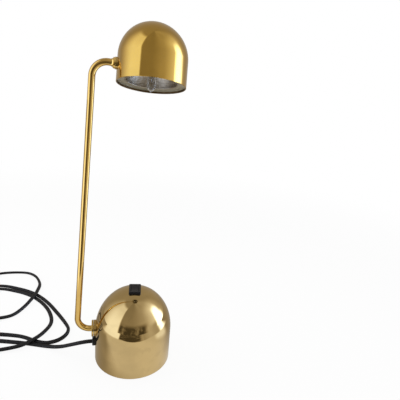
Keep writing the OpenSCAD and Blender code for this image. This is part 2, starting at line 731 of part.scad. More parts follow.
module foot_pad() {
  color([0.10, 0.10, 0.10])
  difference() {
    cylinder(r = plate_r - pad_inset, h = pad_t);
    at_plate_screws() translate([0, 0, -pad_t - cut])
      cylinder(r = 2 * plate_screw_r + 0.3, h = pad_t + 2 * cut);
    at_clamp_screws() translate([0, 0, -pad_t - cut])
      cylinder(r = 2 * clamp_screw_r + 0.3, h = pad_t + 2 * cut);
  }
}

// Three brackets brazed to the shell, tapped for the plate's screws
module shell_brackets() {
  half = tab_w / 2 / inner_r * 180 / PI;
  color([0.70, 0.60, 0.40])
  difference() {
    for (a = tab_angles) rotate([0, 0, a - half]) rotate_extrude(angle = 2 * half) {
      translate([inner_r - tab_depth, plate_top]) square([tab_depth, tab_t]);
      translate([inner_r - tab_t, plate_top]) square([tab_t, tab_h]);
    }
    at_plate_screws() cylinder(r = plate_screw_r + fit_gap, h = plate_t + tab_h);
  }
}

module plate_screws() {
  color([0.60, 0.60, 0.62]) at_plate_screws() sunk_screw(plate_screw_r, plate_screw_l, 0);
}

// Threaded bush of the lower pivot, its flange cut to sit on the round base
module base_bush() {
  color([0.82, 0.66, 0.36])
  difference() {
    union() {
      difference() {
        at_hub() translate([0, 0, base_r - 3]) cylinder(r = hub_r, h = 3 + hub_flange_t);
        base_solid(base_r, 0);
      }
      at_hub() translate([0, 0, bush_end]) cylinder(r = bush_r, h = hub_face - bush_end);
    }
    at_hub() translate([0, 0, bush_end - cut])
      cylinder(r = bush_bore_r, h = hub_face - bush_end + 2 * cut);
  }
}

module base_bush_washer() {
  color([0.70, 0.70, 0.72]) at_hub() translate([0, 0, washer_at - bush_washer_t])
    ring(bush_washer_r, bush_r + fit_gap, bush_washer_t);
}

module base_bush_nut() {
  color([0.78, 0.64, 0.36]) at_hub() translate([0, 0, washer_at - bush_washer_t - bush_nut_t])
    difference() {
      hexagon(bush_nut_af, bush_nut_t);
      translate([0, 0, -cut]) cylinder(r = bush_r + fit_gap, h = bush_nut_t + 2 * cut);
    }
}

// Clamping gland of the cord, its flange cut to sit on the round base
module cord_gland() {
  edge = 0.8;
  color([0.06, 0.06, 0.06])
  difference() {
    union() {
      difference() {
        at_gland() {
          translate([0, 0, base_r - 2]) cylinder(r = gland_r, h = 2 + gland_t - edge);
          translate([0, 0, gland_face - edge]) cylinder(r1 = gland_r, r2 = gland_r - edge, h = edge);
        }
        base_solid(base_r, 0);
      }
      at_gland() translate([0, 0, gland_end]) cylinder(r = gland_barrel_r, h = gland_in + gland_t / 2);
    }
    at_gland() translate([0, 0, gland_end - cut]) linear_extrude(gland_face - gland_end + 2 * cut)
      soft_rect(cord_t + 2 * cord_clear, cord_w + 2 * cord_clear, cord_t / 2);
  }
}

module at_coil() { translate([core_x, 0, coil_z]) children(); }

// Stack of laminations round two windows, with a middle leg
module transformer_core() {
  color([0.32, 0.32, 0.34])
  translate([core_x, stack_t / 2, plate_top]) rotate([90, 0, 0]) linear_extrude(stack_t)
    difference() {
      translate([-core_w / 2, 0]) square([core_w, core_h]);
      for (s = [-1, 1]) translate([s * (leg + yoke) / 2, core_h / 2])
        square([yoke, window_h], center = true);
    }
}

// Bobbin with a chamber for each winding
module transformer_bobbin() {
  color([0.90, 0.88, 0.80])
  at_coil() difference() {
    union() {
      centred_box(
        2 * (bobbin_in_x + bobbin_wall), 2 * (bobbin_in_y + bobbin_wall),
        -bobbin_h / 2, bobbin_h / 2
      );
      for (z = [-bobbin_h / 2, -bobbin_wall / 2, bobbin_h / 2 - bobbin_wall])
        centred_box(2 * coil_out_x + 0.4, 2 * coil_out_y + 0.4, z, z + bobbin_wall);
    }
    centred_box(2 * bobbin_in_x, 2 * bobbin_in_y, -bobbin_h, bobbin_h);
  }
}

module winding(z) {
  corner = 4;
  translate([core_x, 0, z - coil_h / 2]) linear_extrude(coil_h) difference() {
    soft_rect(2 * coil_out_x, 2 * coil_out_y, corner);
    square([2 * coil_in_x, 2 * coil_in_y], center = true);
  }
}
module primary_winding() { color([0.72, 0.38, 0.20]) winding(primary_z); }
module secondary_winding() { color([0.78, 0.45, 0.24]) winding(secondary_z); }

// Strap over the core with a foot on each side
module transformer_clamp() {
  color([0.72, 0.72, 0.74])
  difference() {
    translate([core_x, 0, 0]) {
      centred_box(2 * (clamp_x + clamp_t), clamp_w, clamp_z, clamp_z + clamp_t);
      for (s = [-1, 1]) {
        translate([s * (clamp_x + clamp_t / 2), 0, 0])
          centred_box(clamp_t, clamp_w, plate_top, clamp_z + clamp_t);
        translate([s * clamp_screw_at, 0, 0])
          centred_box(clamp_foot + clamp_t, clamp_w, plate_top, plate_top + clamp_t);
      }
    }
    at_clamp_screws() cylinder(r = clamp_screw_r + fit_gap, h = 2 * (plate_t + clamp_t));
  }
}

module clamp_screws() {
  color([0.60, 0.60, 0.62])
    at_clamp_screws() sunk_screw(clamp_screw_r, plate_t + clamp_t + clamp_nut_t + 1, 0);
}

module clamp_nuts() {
  color([0.66, 0.66, 0.68])
  at_clamp_screws() translate([0, 0, plate_t + clamp_t]) difference() {
    hexagon(clamp_nut_af, clamp_nut_t);
    translate([0, 0, -cut]) cylinder(r = clamp_screw_r + fit_gap, h = clamp_nut_t + 2 * cut);
  }
}

module at_block_screws() {
  for (s = [-1, 1], p = [pole_front, pole_rear])
    translate([s * block_l / 4, p, plate_top + block_h]) children();
}

// Two poles, each with a wire hole from end to end and two clamping screws
module terminal_block() {
  color([0.93, 0.92, 0.88])
  difference() {
    translate([0, -block_y, 0]) centred_box(block_l, block_w, plate_top, plate_top + block_h);
    for (p = [pole_front, pole_rear]) translate([-block_l / 2 - cut, p, block_z])
      rotate([0, 90, 0]) cylinder(r = wire_hole_r, h = block_l + 2 * cut);
    at_block_screws() translate([0, 0, -block_h / 2])
      cylinder(r = block_screw_r + fit_gap, h = block_h / 2 + cut);
  }
}

module terminal_screws() {
  color([0.78, 0.64, 0.36]) at_block_screws() translate([0, 0, wire_hole_r - block_h / 2])
    cylinder(r = block_screw_r, h = block_h / 2 - wire_hole_r - 1);
}

module thermal_fuse() {
  color([0.85, 0.82, 0.72]) translate(fuse_at - [0, 0, fuse_l / 2])
    cylinder(r = fuse_r, h = fuse_l);
}

module lead(points, ref) { swept(points, 2 * lead_r, 2 * lead_r, lead_sides, lead_steps, ref); }

// End of the flat cord inside the base, and its two cores to the terminal block
module inner_cord() {
  color([0.05, 0.05, 0.05]) {
    swept(inner_route, cord_w, cord_t, cord_sides, lead_steps, [0, 0, 1]);
    translate([fit_gap, 0, 0]) {
      lead(core_front, [0, 0, 1]);
      lead(core_rear, [0, 0, 1]);
    }
  }
}

module mains_leads() {
  color([0.20, 0.25, 0.60]) {
    lead(switch_lead, [0.6, -0.8, 0]);
    lead(fuse_lead, [1, 0, 0]);
    lead(winding_lead, [1, 0, 0]);
    lead(neutral_lead, [0, 0, 1]);
  }
}

module secondary_cable() {
  color([0.85, 0.85, 0.82])
    swept(secondary_route, 2 * cable_r, 2 * cable_r, cord_sides, lead_steps, [0, 0, 1]);
}

// Housing and bezel in one moulding, cut below to sit on the dome
module switch_housing() {
  step = 0.5;
  wing = 1;
  in_w = housing_w - 2 * housing_wall;
  in_l = housing_l - 2 * housing_wall;
  wing_top = -(base_r - sqrt(inner_r * inner_r - pow(housing_l / 2 + wing, 2))) - fit_gap;
  color([0.07, 0.07, 0.08])
  difference() {
    union() {
      difference() {
        at_switch() {
          translate([0, 0, -4]) linear_extrude(4 + bezel_h - step) soft_rect(bezel_w, bezel_l, 1.2);
          translate([0, 0, bezel_h - step]) linear_extrude(step)
            soft_rect(bezel_w - 2 * step, bezel_l - 2 * step, 1.2);
        }
        base_solid(base_r, 0);
      }
      at_switch() {
        centred_box(housing_w, housing_l, -housing_d, 0);
        for (s = [-1, 1]) translate([-housing_w / 4, s * (housing_l / 2), wing_top]) rotate([0, 90, 0])
          linear_extrude(housing_w / 2) polygon([[0, 0], [0, s * wing], [5 * wing, 0]]);
      }
    }
    at_switch() {
      centred_box(in_w, in_l, floor_t - housing_d, bezel_h + cut);
      translate([-housing_w / 2 - fit_gap, 0, pivot_z]) rotate([0, 90, 0])
        cylinder(r = rocker_pin_r + rocker_pin_clear, h = housing_w + 2 * fit_gap);
      for (y = [0, blade_button_y]) translate([0, y, 0])
        centred_box(terminal_w + 2 * fit_gap, terminal_t + 2 * fit_gap, -housing_d - cut, floor_t);
    }
  }
}

// Middle terminal with the blade's post, and far terminal with the fixed contact
module switch_terminals() {
  color([0.75, 0.74, 0.70])
  at_switch() {
    centred_box(terminal_w, terminal_t, tabs_z, post_z);
    translate([0, blade_button_y, 0]) {
      centred_box(terminal_w, terminal_t, tabs_z, fixed_contact_z);
      translate([0, 0, fixed_contact_z - 0.5]) cylinder(r = 1.2, h = 0.5);
    }
  }
}

// Rocker whose face is a shallow V, with round ends about its pivot
module switch_rocker() {
  face_z = rocker_pivot_d + 0.7;
  rise = rocker_half_l * tan(rocker_slope);
  low = -3.6;
  boss_low = -5.6;
  color([0.10, 0.10, 0.11])
  at_rocker(rocker_tip) difference() {
    union() {
      translate([-rocker_w / 2, 0, 0]) rotate([90, 0, 90]) linear_extrude(rocker_w) intersection() {
        circle(rocker_half_l);
        polygon([
          [-rocker_half_l, low], [rocker_half_l, low],
          [rocker_half_l, face_z + rise], [0, face_z], [-rocker_half_l, face_z + rise]
        ]);
      }
      translate([-housing_w / 2 + 0.2, 0, 0]) rotate([0, 90, 0])
        cylinder(r = rocker_pin_r, h = housing_w - 0.4);
      translate([0, 0, boss_low]) cylinder(r = 2 * plunger_r, h = low - boss_low);
    }
    translate([0, 0, boss_low - cut]) cylinder(r = plunger_r + fit_gap, h = cut + 4.4);
  }
}

module switch_plunger() {
  color([0.85, 0.84, 0.80]) at_rocker(rocker_tip) {
    translate([0, 0, -plunger_reach + plunger_r]) sphere(r = plunger_r);
    translate([0, 0, -plunger_reach + plunger_r])
      cylinder(r = plunger_r, h = plunger_reach - plunger_r - 3.2);
  }
}

module plunger_spring() {
  color([0.70, 0.70, 0.72]) at_rocker(rocker_tip) translate([0, 0, -3.2])
    ring(plunger_r - 0.05, plunger_r - 0.4, 1.9);
}

// Blade with a round bead below it that tips on the middle terminal's post, and a contact
// button at each end
module contact_blade() {
  color([0.80, 0.70, 0.50])
  at_switch() translate([0, 0, blade_z - blade_t]) rotate([blade_rest, 0, 0]) {
    centred_box(blade_w, 2 * blade_half_l, 0, blade_t);
    translate([-blade_w / 2, 0, 0]) rotate([0, 90, 0]) cylinder(r = bead_r, h = blade_w);
    for (s = [-1, 1]) translate([0, s * blade_button_y, -blade_button_t])
      cylinder(r = blade_button_r, h = blade_button_t + blade_t / 2);
  }
}

// Rod of radius r along the arm's middle line, from low_at, a distance from the base's
// axis, to high_at, a distance from the shade's axis. Its end in the hub is step thicker
// and laps over the bend.
module along_arm(r, step, low_at, high_at) {
  lap = 0.3;
  at_top() {
    translate([-arm_reach, 0, low_tangent - arm_len])
      cylinder(r = r, h = arm_len - low_tangent - bend_r);
    translate([bend_r - arm_reach, 0, -bend_r]) rotate([90, 0, 0]) rotate([0, 0, 90])
      rotate_extrude(angle = 90) translate([bend_r, 0]) circle(r);
    rotate([0, -90, 0]) translate([0, 0, high_at])
      cylinder(r = r, h = arm_reach - bend_r - high_at);
    translate([bend_r - arm_reach, 0, low_tangent - arm_len]) rotate([90, 0, 0])
      rotate([0, 0, 180]) rotate_extrude(angle = 90 + arm_lean) translate([bend_r, 0]) circle(r);
  }
  at_hub() translate([0, 0, low_at]) cylinder(r = r + step, h = corner_x - low_tangent - low_at + lap);
}

module arm_tube() {
  color([0.84, 0.70, 0.40])
  difference() {
    along_arm(tube_r, lap_step, socket_low, socket_high);
    along_arm(tube_r - tube_wall, -lap_step, socket_low - cut, socket_high - cut);
  }
}

// Spigot with a groove for its retaining ring, from tail to face, both as distances
module spigot(r, tail, groove, face) {
  difference() {
    translate([0, 0, tail]) cylinder(r = r, h = face - tail);
    translate([0, 0, groove - ring_t]) ring(r + cut, r - groove_depth, ring_t);
  }
}

// Disc and hollow spigot of the lower pivot, soldered on the tube's end
module arm_hub() {
  edge = 0.5;
  color([0.86, 0.72, 0.40])
  at_hub() difference() {
    union() {
      translate([0, 0, disc_face]) cylinder(r = hub_r, h = hub_disc_t - edge);
      translate([0, 0, disc_back - edge]) cylinder(r1 = hub_r, r2 = hub_r - edge, h = edge);
      spigot(spigot_r, hub_spigot_end, hub_ring_at, disc_face + edge);
    }
    translate([0, 0, hub_spigot_end - cut]) cylinder(r = hub_hole_r, h = base_r);
    translate([0, 0, socket_low]) cylinder(r = tube_r + fit_gap, h = base_r);
  }
}

module hub_spring_washer() {
  color([0.68, 0.68, 0.70]) at_hub() translate([0, 0, hub_washer_at - spring_washer_t])
    ring(spigot_r + ring_w, spigot_r + fit_gap, spring_washer_t);
}

module hub_retaining_ring() {
  color([0.35, 0.35, 0.37]) at_hub() translate([0, 0, hub_ring_at - ring_t])
    ring(spigot_r + ring_w, spigot_r - groove_depth, ring_t);
}

// Ferrule with a hollow neck on the tube, and hollow spigot of the upper pivot
module arm_ferrule() {
  neck_r = tube_r + 0.4;
  foot_r = neck_r + ferrule_neck_l;
  color([0.86, 0.70, 0.38])
  at_collar() difference() {
    union() {
      translate([0, 0, ferrule_face]) cylinder(r = collar_r, h = ferrule_rim_t);
      translate([0, 0, ferrule_face + ferrule_rim_t - cut / 2]) difference() {
        cylinder(r = foot_r - fit_gap, h = ferrule_neck_l + cut / 2);
        translate([0, 0, ferrule_neck_l + cut / 2])
          rotate_extrude() translate([foot_r, 0]) circle(ferrule_neck_l);
      }
      spigot(collar_spigot_r, collar_spigot_end, collar_ring_at, ferrule_face + cut / 2);
    }
    translate([0, 0, collar_spigot_end - cut]) cylinder(r = collar_hole_r, h = shade_r);
    translate([0, 0, socket_high]) cylinder(r = tube_r + fit_gap, h = shade_r);
  }
}

module collar_spring_washer() {
  color([0.68, 0.68, 0.70]) at_collar() translate([0, 0, collar_washer_at - spring_washer_t])
    ring(collar_spigot_r + ring_w, collar_spigot_r + fit_gap, spring_washer_t);
}

module collar_retaining_ring() {
  color([0.35, 0.35, 0.37]) at_collar() translate([0, 0, collar_ring_at - ring_t])
    ring(collar_spigot_r + ring_w, collar_spigot_r - groove_depth, ring_t);
}

module arm_cable() {
  color([0.88, 0.88, 0.85])
    along_arm(cable_r, lap_step, hub_spigot_end - cable_tail, collar_spigot_end - cable_tail);
}

module shade_shell() {
  color([0.74, 0.56, 0.26])
  in_shade() difference() {
    shade_solid(shade_r, rim_z);
    shade_solid(shade_inner_r, rim_z - cut);
    rotate([0, -90, 0]) cylinder(r = shade_bush_r + fit_gap, h = shade_r + cut);
  }
}

// Threaded bush of the upper pivot, its flange cut to sit on the round shade
module shade_bush() {
  color([0.78, 0.60, 0.30])
  in_shade() difference() {
    union() {
      difference() {
        rotate([0, -90, 0]) translate([0, 0, shade_r - 2])
          cylinder(r = collar_r, h = 2 + collar_flange_t);
        shade_solid(shade_r, rim_z - cut);
      }
      rotate([0, -90, 0]) translate([0, 0, shade_bush_end])
        cylinder(r = shade_bush_r, h = collar_face - shade_bush_end);
    }
    rotate([0, -90, 0]) translate([0, 0, shade_bush_end - cut])
      cylinder(r = shade_bore_r, h = collar_face - shade_bush_end + 2 * cut);
  }
}

module shade_bush_nut() {
  color([0.78, 0.64, 0.36])
  in_shade() rotate([0, -90, 0]) translate([0, 0, shade_nut_at - shade_nut_t]) difference() {
    hexagon(shade_nut_af, shade_nut_t);
    translate([0, 0, -cut]) cylinder(r = shade_bush_r + fit_gap, h = shade_nut_t + 2 * cut);
  }
}

// Strip that follows the shade's wall below the nut and reaches over the lampholder
module lampholder_bracket() {
  low = -7.5;
  reach = holder_screw_pitch / 2 + 3.5;
  color([0.72, 0.72, 0.74])
  in_shade() difference() {
    intersection() {
      union() {
        difference() {
          shade_solid(shade_inner_r, rim_z);
          shade_solid(bracket_inner_r, rim_z - cut);
        }
        translate([-shade_inner_r - cut, -bracket_w / 2, holder_top])
          cube([shade_inner_r + cut + reach, bracket_w, bracket_t]);
      }
      shade_solid(shade_inner_r, rim_z);
      translate([-shade_inner_r - cut, -bracket_w / 2, low])
        cube([shade_inner_r + cut + reach, bracket_w, bracket_top - low]);
      union() {
        translate([-shade_inner_r - cut, -bracket_w, low - cut])
          cube([shade_inner_r / 2, 2 * bracket_w, bracket_top - low + 2 * cut]);
        translate([-shade_inner_r - cut, -bracket_w, holder_top])
          cube([2 * shade_inner_r, 2 * bracket_w, bracket_t + cut]);
      }
    }
    rotate([0, -90, 0]) cylinder(r = shade_bush_r + fit_gap, h = shade_r);
    for (s = [-1, 1]) translate([s * holder_screw_pitch / 2, 0, 0])
      cylinder(r = holder_screw_r + fit_gap, h = bracket_top + cut);
    centred_box(5, pin_pitch + contact_w + 1, holder_top - cut, bracket_top + cut);
    translate([cable_up_x, 0, 0]) cylinder(r = cable_r + 0.4, h = bracket_top + cut);
  }
}

// Ceramic block with two pin holes, two contact pockets and two screw holes
module lampholder() {
  contact_low = pins_top - 2;
  color([0.94, 0.93, 0.88])
  in_shade() difference() {
    centred_box(holder_l, holder_w, holder_low, holder_top);
    for (s = [-1, 1]) {
      translate([0, s * pin_pitch / 2, holder_low - cut])
        cylinder(r = pin_hole_r, h = holder_h + 2 * cut);
      translate([0, s * pin_pitch / 2, 0])
        centred_box(contact_w + 2 * fit_gap, contact_w + 2 * fit_gap, contact_low, holder_top + cut);
      translate([s * holder_screw_pitch / 2, 0, holder_top - 8])
        cylinder(r = holder_screw_r + fit_gap, h = 8 + cut);
    }
  }
}

module lampholder_contacts() {
  contact_low = pins_top - 2;
  color([0.80, 0.72, 0.45])
  in_shade() for (s = [-1, 1]) translate([0, s * pin_pitch / 2, 0]) difference() {
    centred_box(contact_w, contact_w, contact_low + fit_gap, holder_top);
    translate([0, 0, contact_low - cut]) cylinder(r = pin_hole_r, h = pins_top - contact_low + cut + 0.2);
  }
}

module lampholder_screws() {
  head_r = 2 * holder_screw_r - 0.3;
  color([0.60, 0.60, 0.62])
  in_shade() for (s = [-1, 1]) translate([s * holder_screw_pitch / 2, 0, 0]) {
    translate([0, 0, holder_top - 7]) cylinder(r = holder_screw_r, h = 7 + bracket_t);
    translate([0, 0, bracket_top]) cylinder(r1 = head_r, r2 = head_r * 0.7, h = 1.6);
  }
}

module lamp_leads() {
  color([0.88, 0.88, 0.85])
  in_shade() {
    swept(lamp_cable, 2 * cable_r, 2 * cable_r, cord_sides, lead_steps, [0, 1, 0]);
    for (s = [-1, 1]) translate([fit_gap, 0, 0])
      swept(lamp_lead(s), 1.6 * lead_r, 1.6 * lead_r, lead_sides, lead_steps, [0, 1, 0.2]);
  }
}

// Spun sheet: flat flange, raised border and round bowl with a hole at its top
module reflector() {
  color([0.78, 0.77, 0.75])
  in_shade() rotate_extrude() {
    translate([mouth_r, flange_top - refl_t]) square([shade_inner_r - refl_clear - mouth_r, refl_t]);
    translate([mouth_r + bead_w / 2, flange_top - refl_t]) circle(bead_w / 2);
    intersection() {
      difference() {
        translate([0, bowl_z]) circle(bowl_r + refl_t);
        translate([0, bowl_z]) circle(bowl_r);
      }
      translate([bowl_hole_r, flange_top - refl_t])
        square([mouth_r + bead_w / 2 - bowl_hole_r, bowl_depth + refl_t]);
    }
  }
}

// Three tabs brazed to the shade's wall over the reflector's flange
module reflector_clips() {
  half = 7;
  color([0.72, 0.60, 0.36])
  in_shade() for (a = clip_angles) rotate([0, 0, a - half]) rotate_extrude(angle = 2 * half) {
    translate([shade_inner_r - clip_t, flange_top]) square([clip_t, clip_h]);
    translate([shade_inner_r - clip_depth, flange_top]) square([clip_depth, clip_t]);
  }
}

// Round-ended tube, from its lower centre to its upper centre
module capsule(r, low, high) {
  translate([0, 0, low]) cylinder(r = r, h = high - low);
  translate([0, 0, low]) sphere(r = r);
  translate([0, 0, high]) sphere(r = r);
}
module at_pins() { for (s = [-1, 1]) translate([0, s * pin_pitch / 2, 0]) children(); }

// Hollow capsule with a pulled tip below and a flat pinch above
module bulb_glass() {
  high = pinch_low - bulb_r * 0.6;
  color([0.85, 0.90, 0.92, 0.5])
  in_shade() difference() {
    union() {
      capsule(bulb_r, end_z, high);
      translate([0, 0, tip_z]) cylinder(r1 = 0.6, r2 = 1.8, h = tip_l + 0.5);
      centred_box(pinch_t, pinch_w, pinch_low - 2, pinch_top);
    }
    capsule(bulb_r - bulb_wall, end_z, high);
    at_pins() translate([0, 0, pinch_low - 4]) cylinder(r = pin_r, h = pinch_h + 4 + cut);
  }
}

// Pins through the pinch, each with the wire that carries the filament
module bulb_pins() {
  color([0.75, 0.75, 0.76])
  in_shade() at_pins() {
    translate([0, 0, pinch_low - 1]) cylinder(r = pin_r, h = pins_top - pinch_low + 1);
    translate([0, 0, filament_z - filament_r])
      cylinder(r = support_r, h = pinch_low - filament_z + filament_r);
  }
}

module bulb_filament() {
  half = pin_pitch / 2 - support_r;
  color([0.45, 0.45, 0.47])
  in_shade() translate([0, half, filament_z]) rotate([90, 0, 0])
    cylinder(r = filament_r, h = 2 * half);
}

module power_cord() {
  color([0.05, 0.05, 0.05])
    swept(cord_route, cord_w, cord_t, cord_sides, cord_steps, [0, 0, 1]);
}

// Flat moulded plug: the narrow tail takes the cord, the wide end holds the pins
module plug_body() {
  shoulder = 10;
  neck_w = 13;
  neck_t = 9.5;
  color([0.06, 0.06, 0.06])
  at_plug() {
    cylinder(r1 = cord_w / 2 + 0.7, r2 = neck_t / 2, h = plug_tail_l);
    translate([0, 0, plug_tail_l]) intersection() {
      rotate([0, 90, 0]) rotate([0, 0, 90]) linear_extrude(plug_t, center = true) polygon([
        [-neck_w / 2, 0], [neck_w / 2, 0], [plug_w / 2, shoulder], [plug_w / 2, plug_l],
        [-plug_w / 2, plug_l], [-plug_w / 2, shoulder]
      ]);
      linear_extrude(plug_l) soft_rect(plug_t, plug_w, plug_t / 2 - 2);
    }
  }
}

module plug_pins() {
  tip = 1.2;
  low = plug_tail_l + plug_l;
  color([0.80, 0.80, 0.80])
  at_plug() for (s = [-1, 1]) translate([0, s * plug_pitch / 2, low]) {
    cylinder(r = plug_pin_r, h = plug_pin_l - tip);
    translate([0, 0, plug_pin_l - tip]) cylinder(r1 = plug_pin_r, r2 = plug_pin_r / 2, h = tip);
  }
}

base_shell();
base_plate();
foot_pad();
shell_brackets();
plate_screws();
base_bush();
base_bush_washer();
base_bush_nut();
cord_gland();
transformer_core();
transformer_bobbin();
primary_winding();
secondary_winding();
transformer_clamp();
clamp_screws();
clamp_nuts();
terminal_block();
terminal_screws();
thermal_fuse();
inner_cord();
mains_leads();
secondary_cable();
switch_housing();
switch_terminals();
switch_rocker();
switch_plunger();
plunger_spring();
contact_blade();
arm_tube();
arm_hub();
hub_spring_washer();
hub_retaining_ring();
arm_ferrule();
collar_spring_washer();
collar_retaining_ring();
arm_cable();
shade_shell();
shade_bush();
shade_bush_nut();
lampholder_bracket();
lampholder();
lampholder_screws();
lampholder_contacts();
lamp_leads();
reflector();
reflector_clips();
bulb_glass();
bulb_pins();
bulb_filament();
power_cord();
plug_body();
plug_pins();
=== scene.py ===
"""Desk lamp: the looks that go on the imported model.

The camera, the floor and the cord come first. Then each sub-assembly builds its own pieces
and dresses its nodes. Sizes are millimetres in the classes and turn into metres where a mesh
is made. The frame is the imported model's: +Z up, the arm's lower pivot on the side of the base
that faces -X.
"""

import json
import logging
import math
from dataclasses import asdict, dataclass, field
from enum import Enum
from typing import Any, Sequence

import bmesh
import bpy
import numpy as np
from mathutils import Matrix, Vector

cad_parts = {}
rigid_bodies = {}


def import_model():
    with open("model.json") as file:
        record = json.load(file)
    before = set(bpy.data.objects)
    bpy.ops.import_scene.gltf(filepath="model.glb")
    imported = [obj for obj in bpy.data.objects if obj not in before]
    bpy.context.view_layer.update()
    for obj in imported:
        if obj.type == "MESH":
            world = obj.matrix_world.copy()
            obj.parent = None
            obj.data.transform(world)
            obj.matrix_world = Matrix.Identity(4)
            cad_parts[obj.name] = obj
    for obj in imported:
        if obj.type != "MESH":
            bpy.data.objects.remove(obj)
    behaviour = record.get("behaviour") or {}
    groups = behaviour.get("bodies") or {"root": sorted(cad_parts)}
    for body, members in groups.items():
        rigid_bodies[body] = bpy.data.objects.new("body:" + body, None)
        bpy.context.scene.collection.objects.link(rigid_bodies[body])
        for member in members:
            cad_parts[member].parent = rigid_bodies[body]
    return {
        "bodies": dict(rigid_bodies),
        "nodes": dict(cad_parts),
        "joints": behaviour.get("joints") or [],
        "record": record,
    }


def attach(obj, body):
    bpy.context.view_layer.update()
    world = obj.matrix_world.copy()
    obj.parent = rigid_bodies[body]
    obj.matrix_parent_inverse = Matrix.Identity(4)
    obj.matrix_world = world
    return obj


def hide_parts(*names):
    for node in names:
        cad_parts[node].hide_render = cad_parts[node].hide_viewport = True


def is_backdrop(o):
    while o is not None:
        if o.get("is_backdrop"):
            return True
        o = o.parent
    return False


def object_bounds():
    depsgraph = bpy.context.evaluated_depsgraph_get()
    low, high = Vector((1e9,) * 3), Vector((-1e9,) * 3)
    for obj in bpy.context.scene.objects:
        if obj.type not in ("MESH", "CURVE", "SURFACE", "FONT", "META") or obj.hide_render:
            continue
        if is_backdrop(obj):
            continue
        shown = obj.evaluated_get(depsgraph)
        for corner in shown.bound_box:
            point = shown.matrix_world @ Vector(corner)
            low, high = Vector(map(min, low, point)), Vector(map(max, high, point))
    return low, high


LOG = logging.getLogger("desk_lamp")
MM = 0.001
SQUARE = ((-0.5, -0.5), (0.5, -0.5), (0.5, 0.5), (-0.5, 0.5))
Point = Sequence[float]
Colour = tuple[float, float, float]
Piece = bpy.types.Object


class Body(Enum):
    """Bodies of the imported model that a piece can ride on."""

    BASE = "base"
    ROCKER = "rocker"
    ARM = "arm"
    SHADE = "shade"


class Axis(Enum):
    """Directions along which a finish can run."""

    X = 0
    Y = 1
    Z = 2


# ---------------------------------------------------------------- shader sums


class Easing:
    """A value that can be eased: a wire, or a number that is worked out in Python."""

    def eased(self, low: float, high: float, start: float = 0.0, end: float = 1.0) -> Any:
        """This value eased from one result to another between a low and a high value."""
        raise NotImplementedError

    def fading(self, low: float, high: float, end: float = 0.0) -> Any:
        """1 where this value is low, eased to an end result where it is high."""
        return self.eased(low, high, 1.0, end)

    def within(self, start: float, full: float, fade: float, end: float) -> Any:
        """1 in a stretch of this value, and eased to 0 at both ends of it."""
        return self.eased(start, full) * self.fading(fade, end)


class Number(Easing, float):
    """A number that is eased in the way in which a node eases a wire."""

    def eased(self, low: float, high: float, start: float = 0.0, end: float = 1.0) -> float:
        """This number eased from one result to another between a low and a high value."""
        share = min(max((self - low) / (high - low), 0.0), 1.0)
        return start + (end - start) * share * share * (3 - 2 * share)


class Wire(Easing):
    """One output of a node, which takes part in sums with numbers and other wires."""

    def __init__(self, tree: bpy.types.NodeTree, socket: bpy.types.NodeSocket) -> None:
        """Keeps the output that this wire stands for, and its tree."""
        self.tree = tree
        self.socket = socket

    def _join(self, operation: str, first: Any, second: Any = None, clamp: bool = False) -> "Wire":
        """Adds one Math node.

        Args:
            operation: Name of the Math node's operation.
            first: Its first input, a number or a wire.
            second: Its second input, a number or a wire, where it has one.
            clamp: Whether the result stays between 0 and 1.

        Returns:
            The node's result.
        """
        node = self.tree.nodes.new("ShaderNodeMath")
        node.operation = operation
        node.use_clamp = clamp
        for slot, value in zip(node.inputs, (first, second)):
            if isinstance(value, Wire):
                self.tree.links.new(value.socket, slot)
            elif value is not None:
                slot.default_value = value
        return Wire(self.tree, node.outputs[0])

    def __add__(self, other: Any) -> "Wire":
        """Sum of this wire and a number or wire."""
        return self._join("ADD", self, other)

    def __sub__(self, other: Any) -> "Wire":
        """This wire less a number or wire."""
        return self._join("SUBTRACT", self, other)

    def __rsub__(self, other: Any) -> "Wire":
        """A number less this wire."""
        return self._join("SUBTRACT", other, self)

    def __mul__(self, other: Any) -> "Wire":
        """Product of this wire and a number or wire."""
        return self._join("MULTIPLY", self, other)

    def __rtruediv__(self, other: Any) -> "Wire":
        """A number divided by this wire."""
        return self._join("DIVIDE", other, self)

    __radd__, __rmul__ = __add__, __mul__

    def __pow__(self, other: Any) -> "Wire":
        """This wire to the power of a number or wire."""
        return self._join("POWER", self, other)

    def most(self, other: Any) -> "Wire":
        """The larger of this wire and a number or wire."""
        return self._join("MAXIMUM", self, other)

    def sine(self) -> "Wire":
        """Sine of this wire, in radians."""
        return self._join("SINE", self)

    def bearing(self, ahead: "Wire") -> "Wire":
        """Angle in degrees of a direction, from its sideways and its forward part."""
        return self._join("ARCTAN2", self, ahead) * (180 / math.pi)

    def rise(self) -> "Wire":
        """Angle in degrees whose sine is this wire."""
        return self._join("ARCSINE", self) * (180 / math.pi)

    def below(self, other: Any) -> "Wire":
        """1 where this wire is less than a number or wire, and 0 elsewhere."""
        return self._join("LESS_THAN", self, other)

    def kept(self) -> "Wire":
        """This wire held between 0 and 1."""
        return self._join("ADD", self, 0.0, clamp=True)

    def eased(self, low: float, high: float, start: float = 0.0, end: float = 1.0) -> "Wire":
        """This wire eased from one value to another.

        Args:
            low: Value of the wire where the easing starts.
            high: Value of the wire where it ends.
            start: Result at and before low.
            end: Result at and after high.

        Returns:
            The eased result.
        """
        node = self.tree.nodes.new("ShaderNodeMapRange")
        node.interpolation_type = "SMOOTHSTEP"
        for slot, value in zip(node.inputs[1:5], (low, high, start, end)):
            slot.default_value = value
        self.tree.links.new(self.socket, node.inputs[0])
        return Wire(self.tree, node.outputs[0])


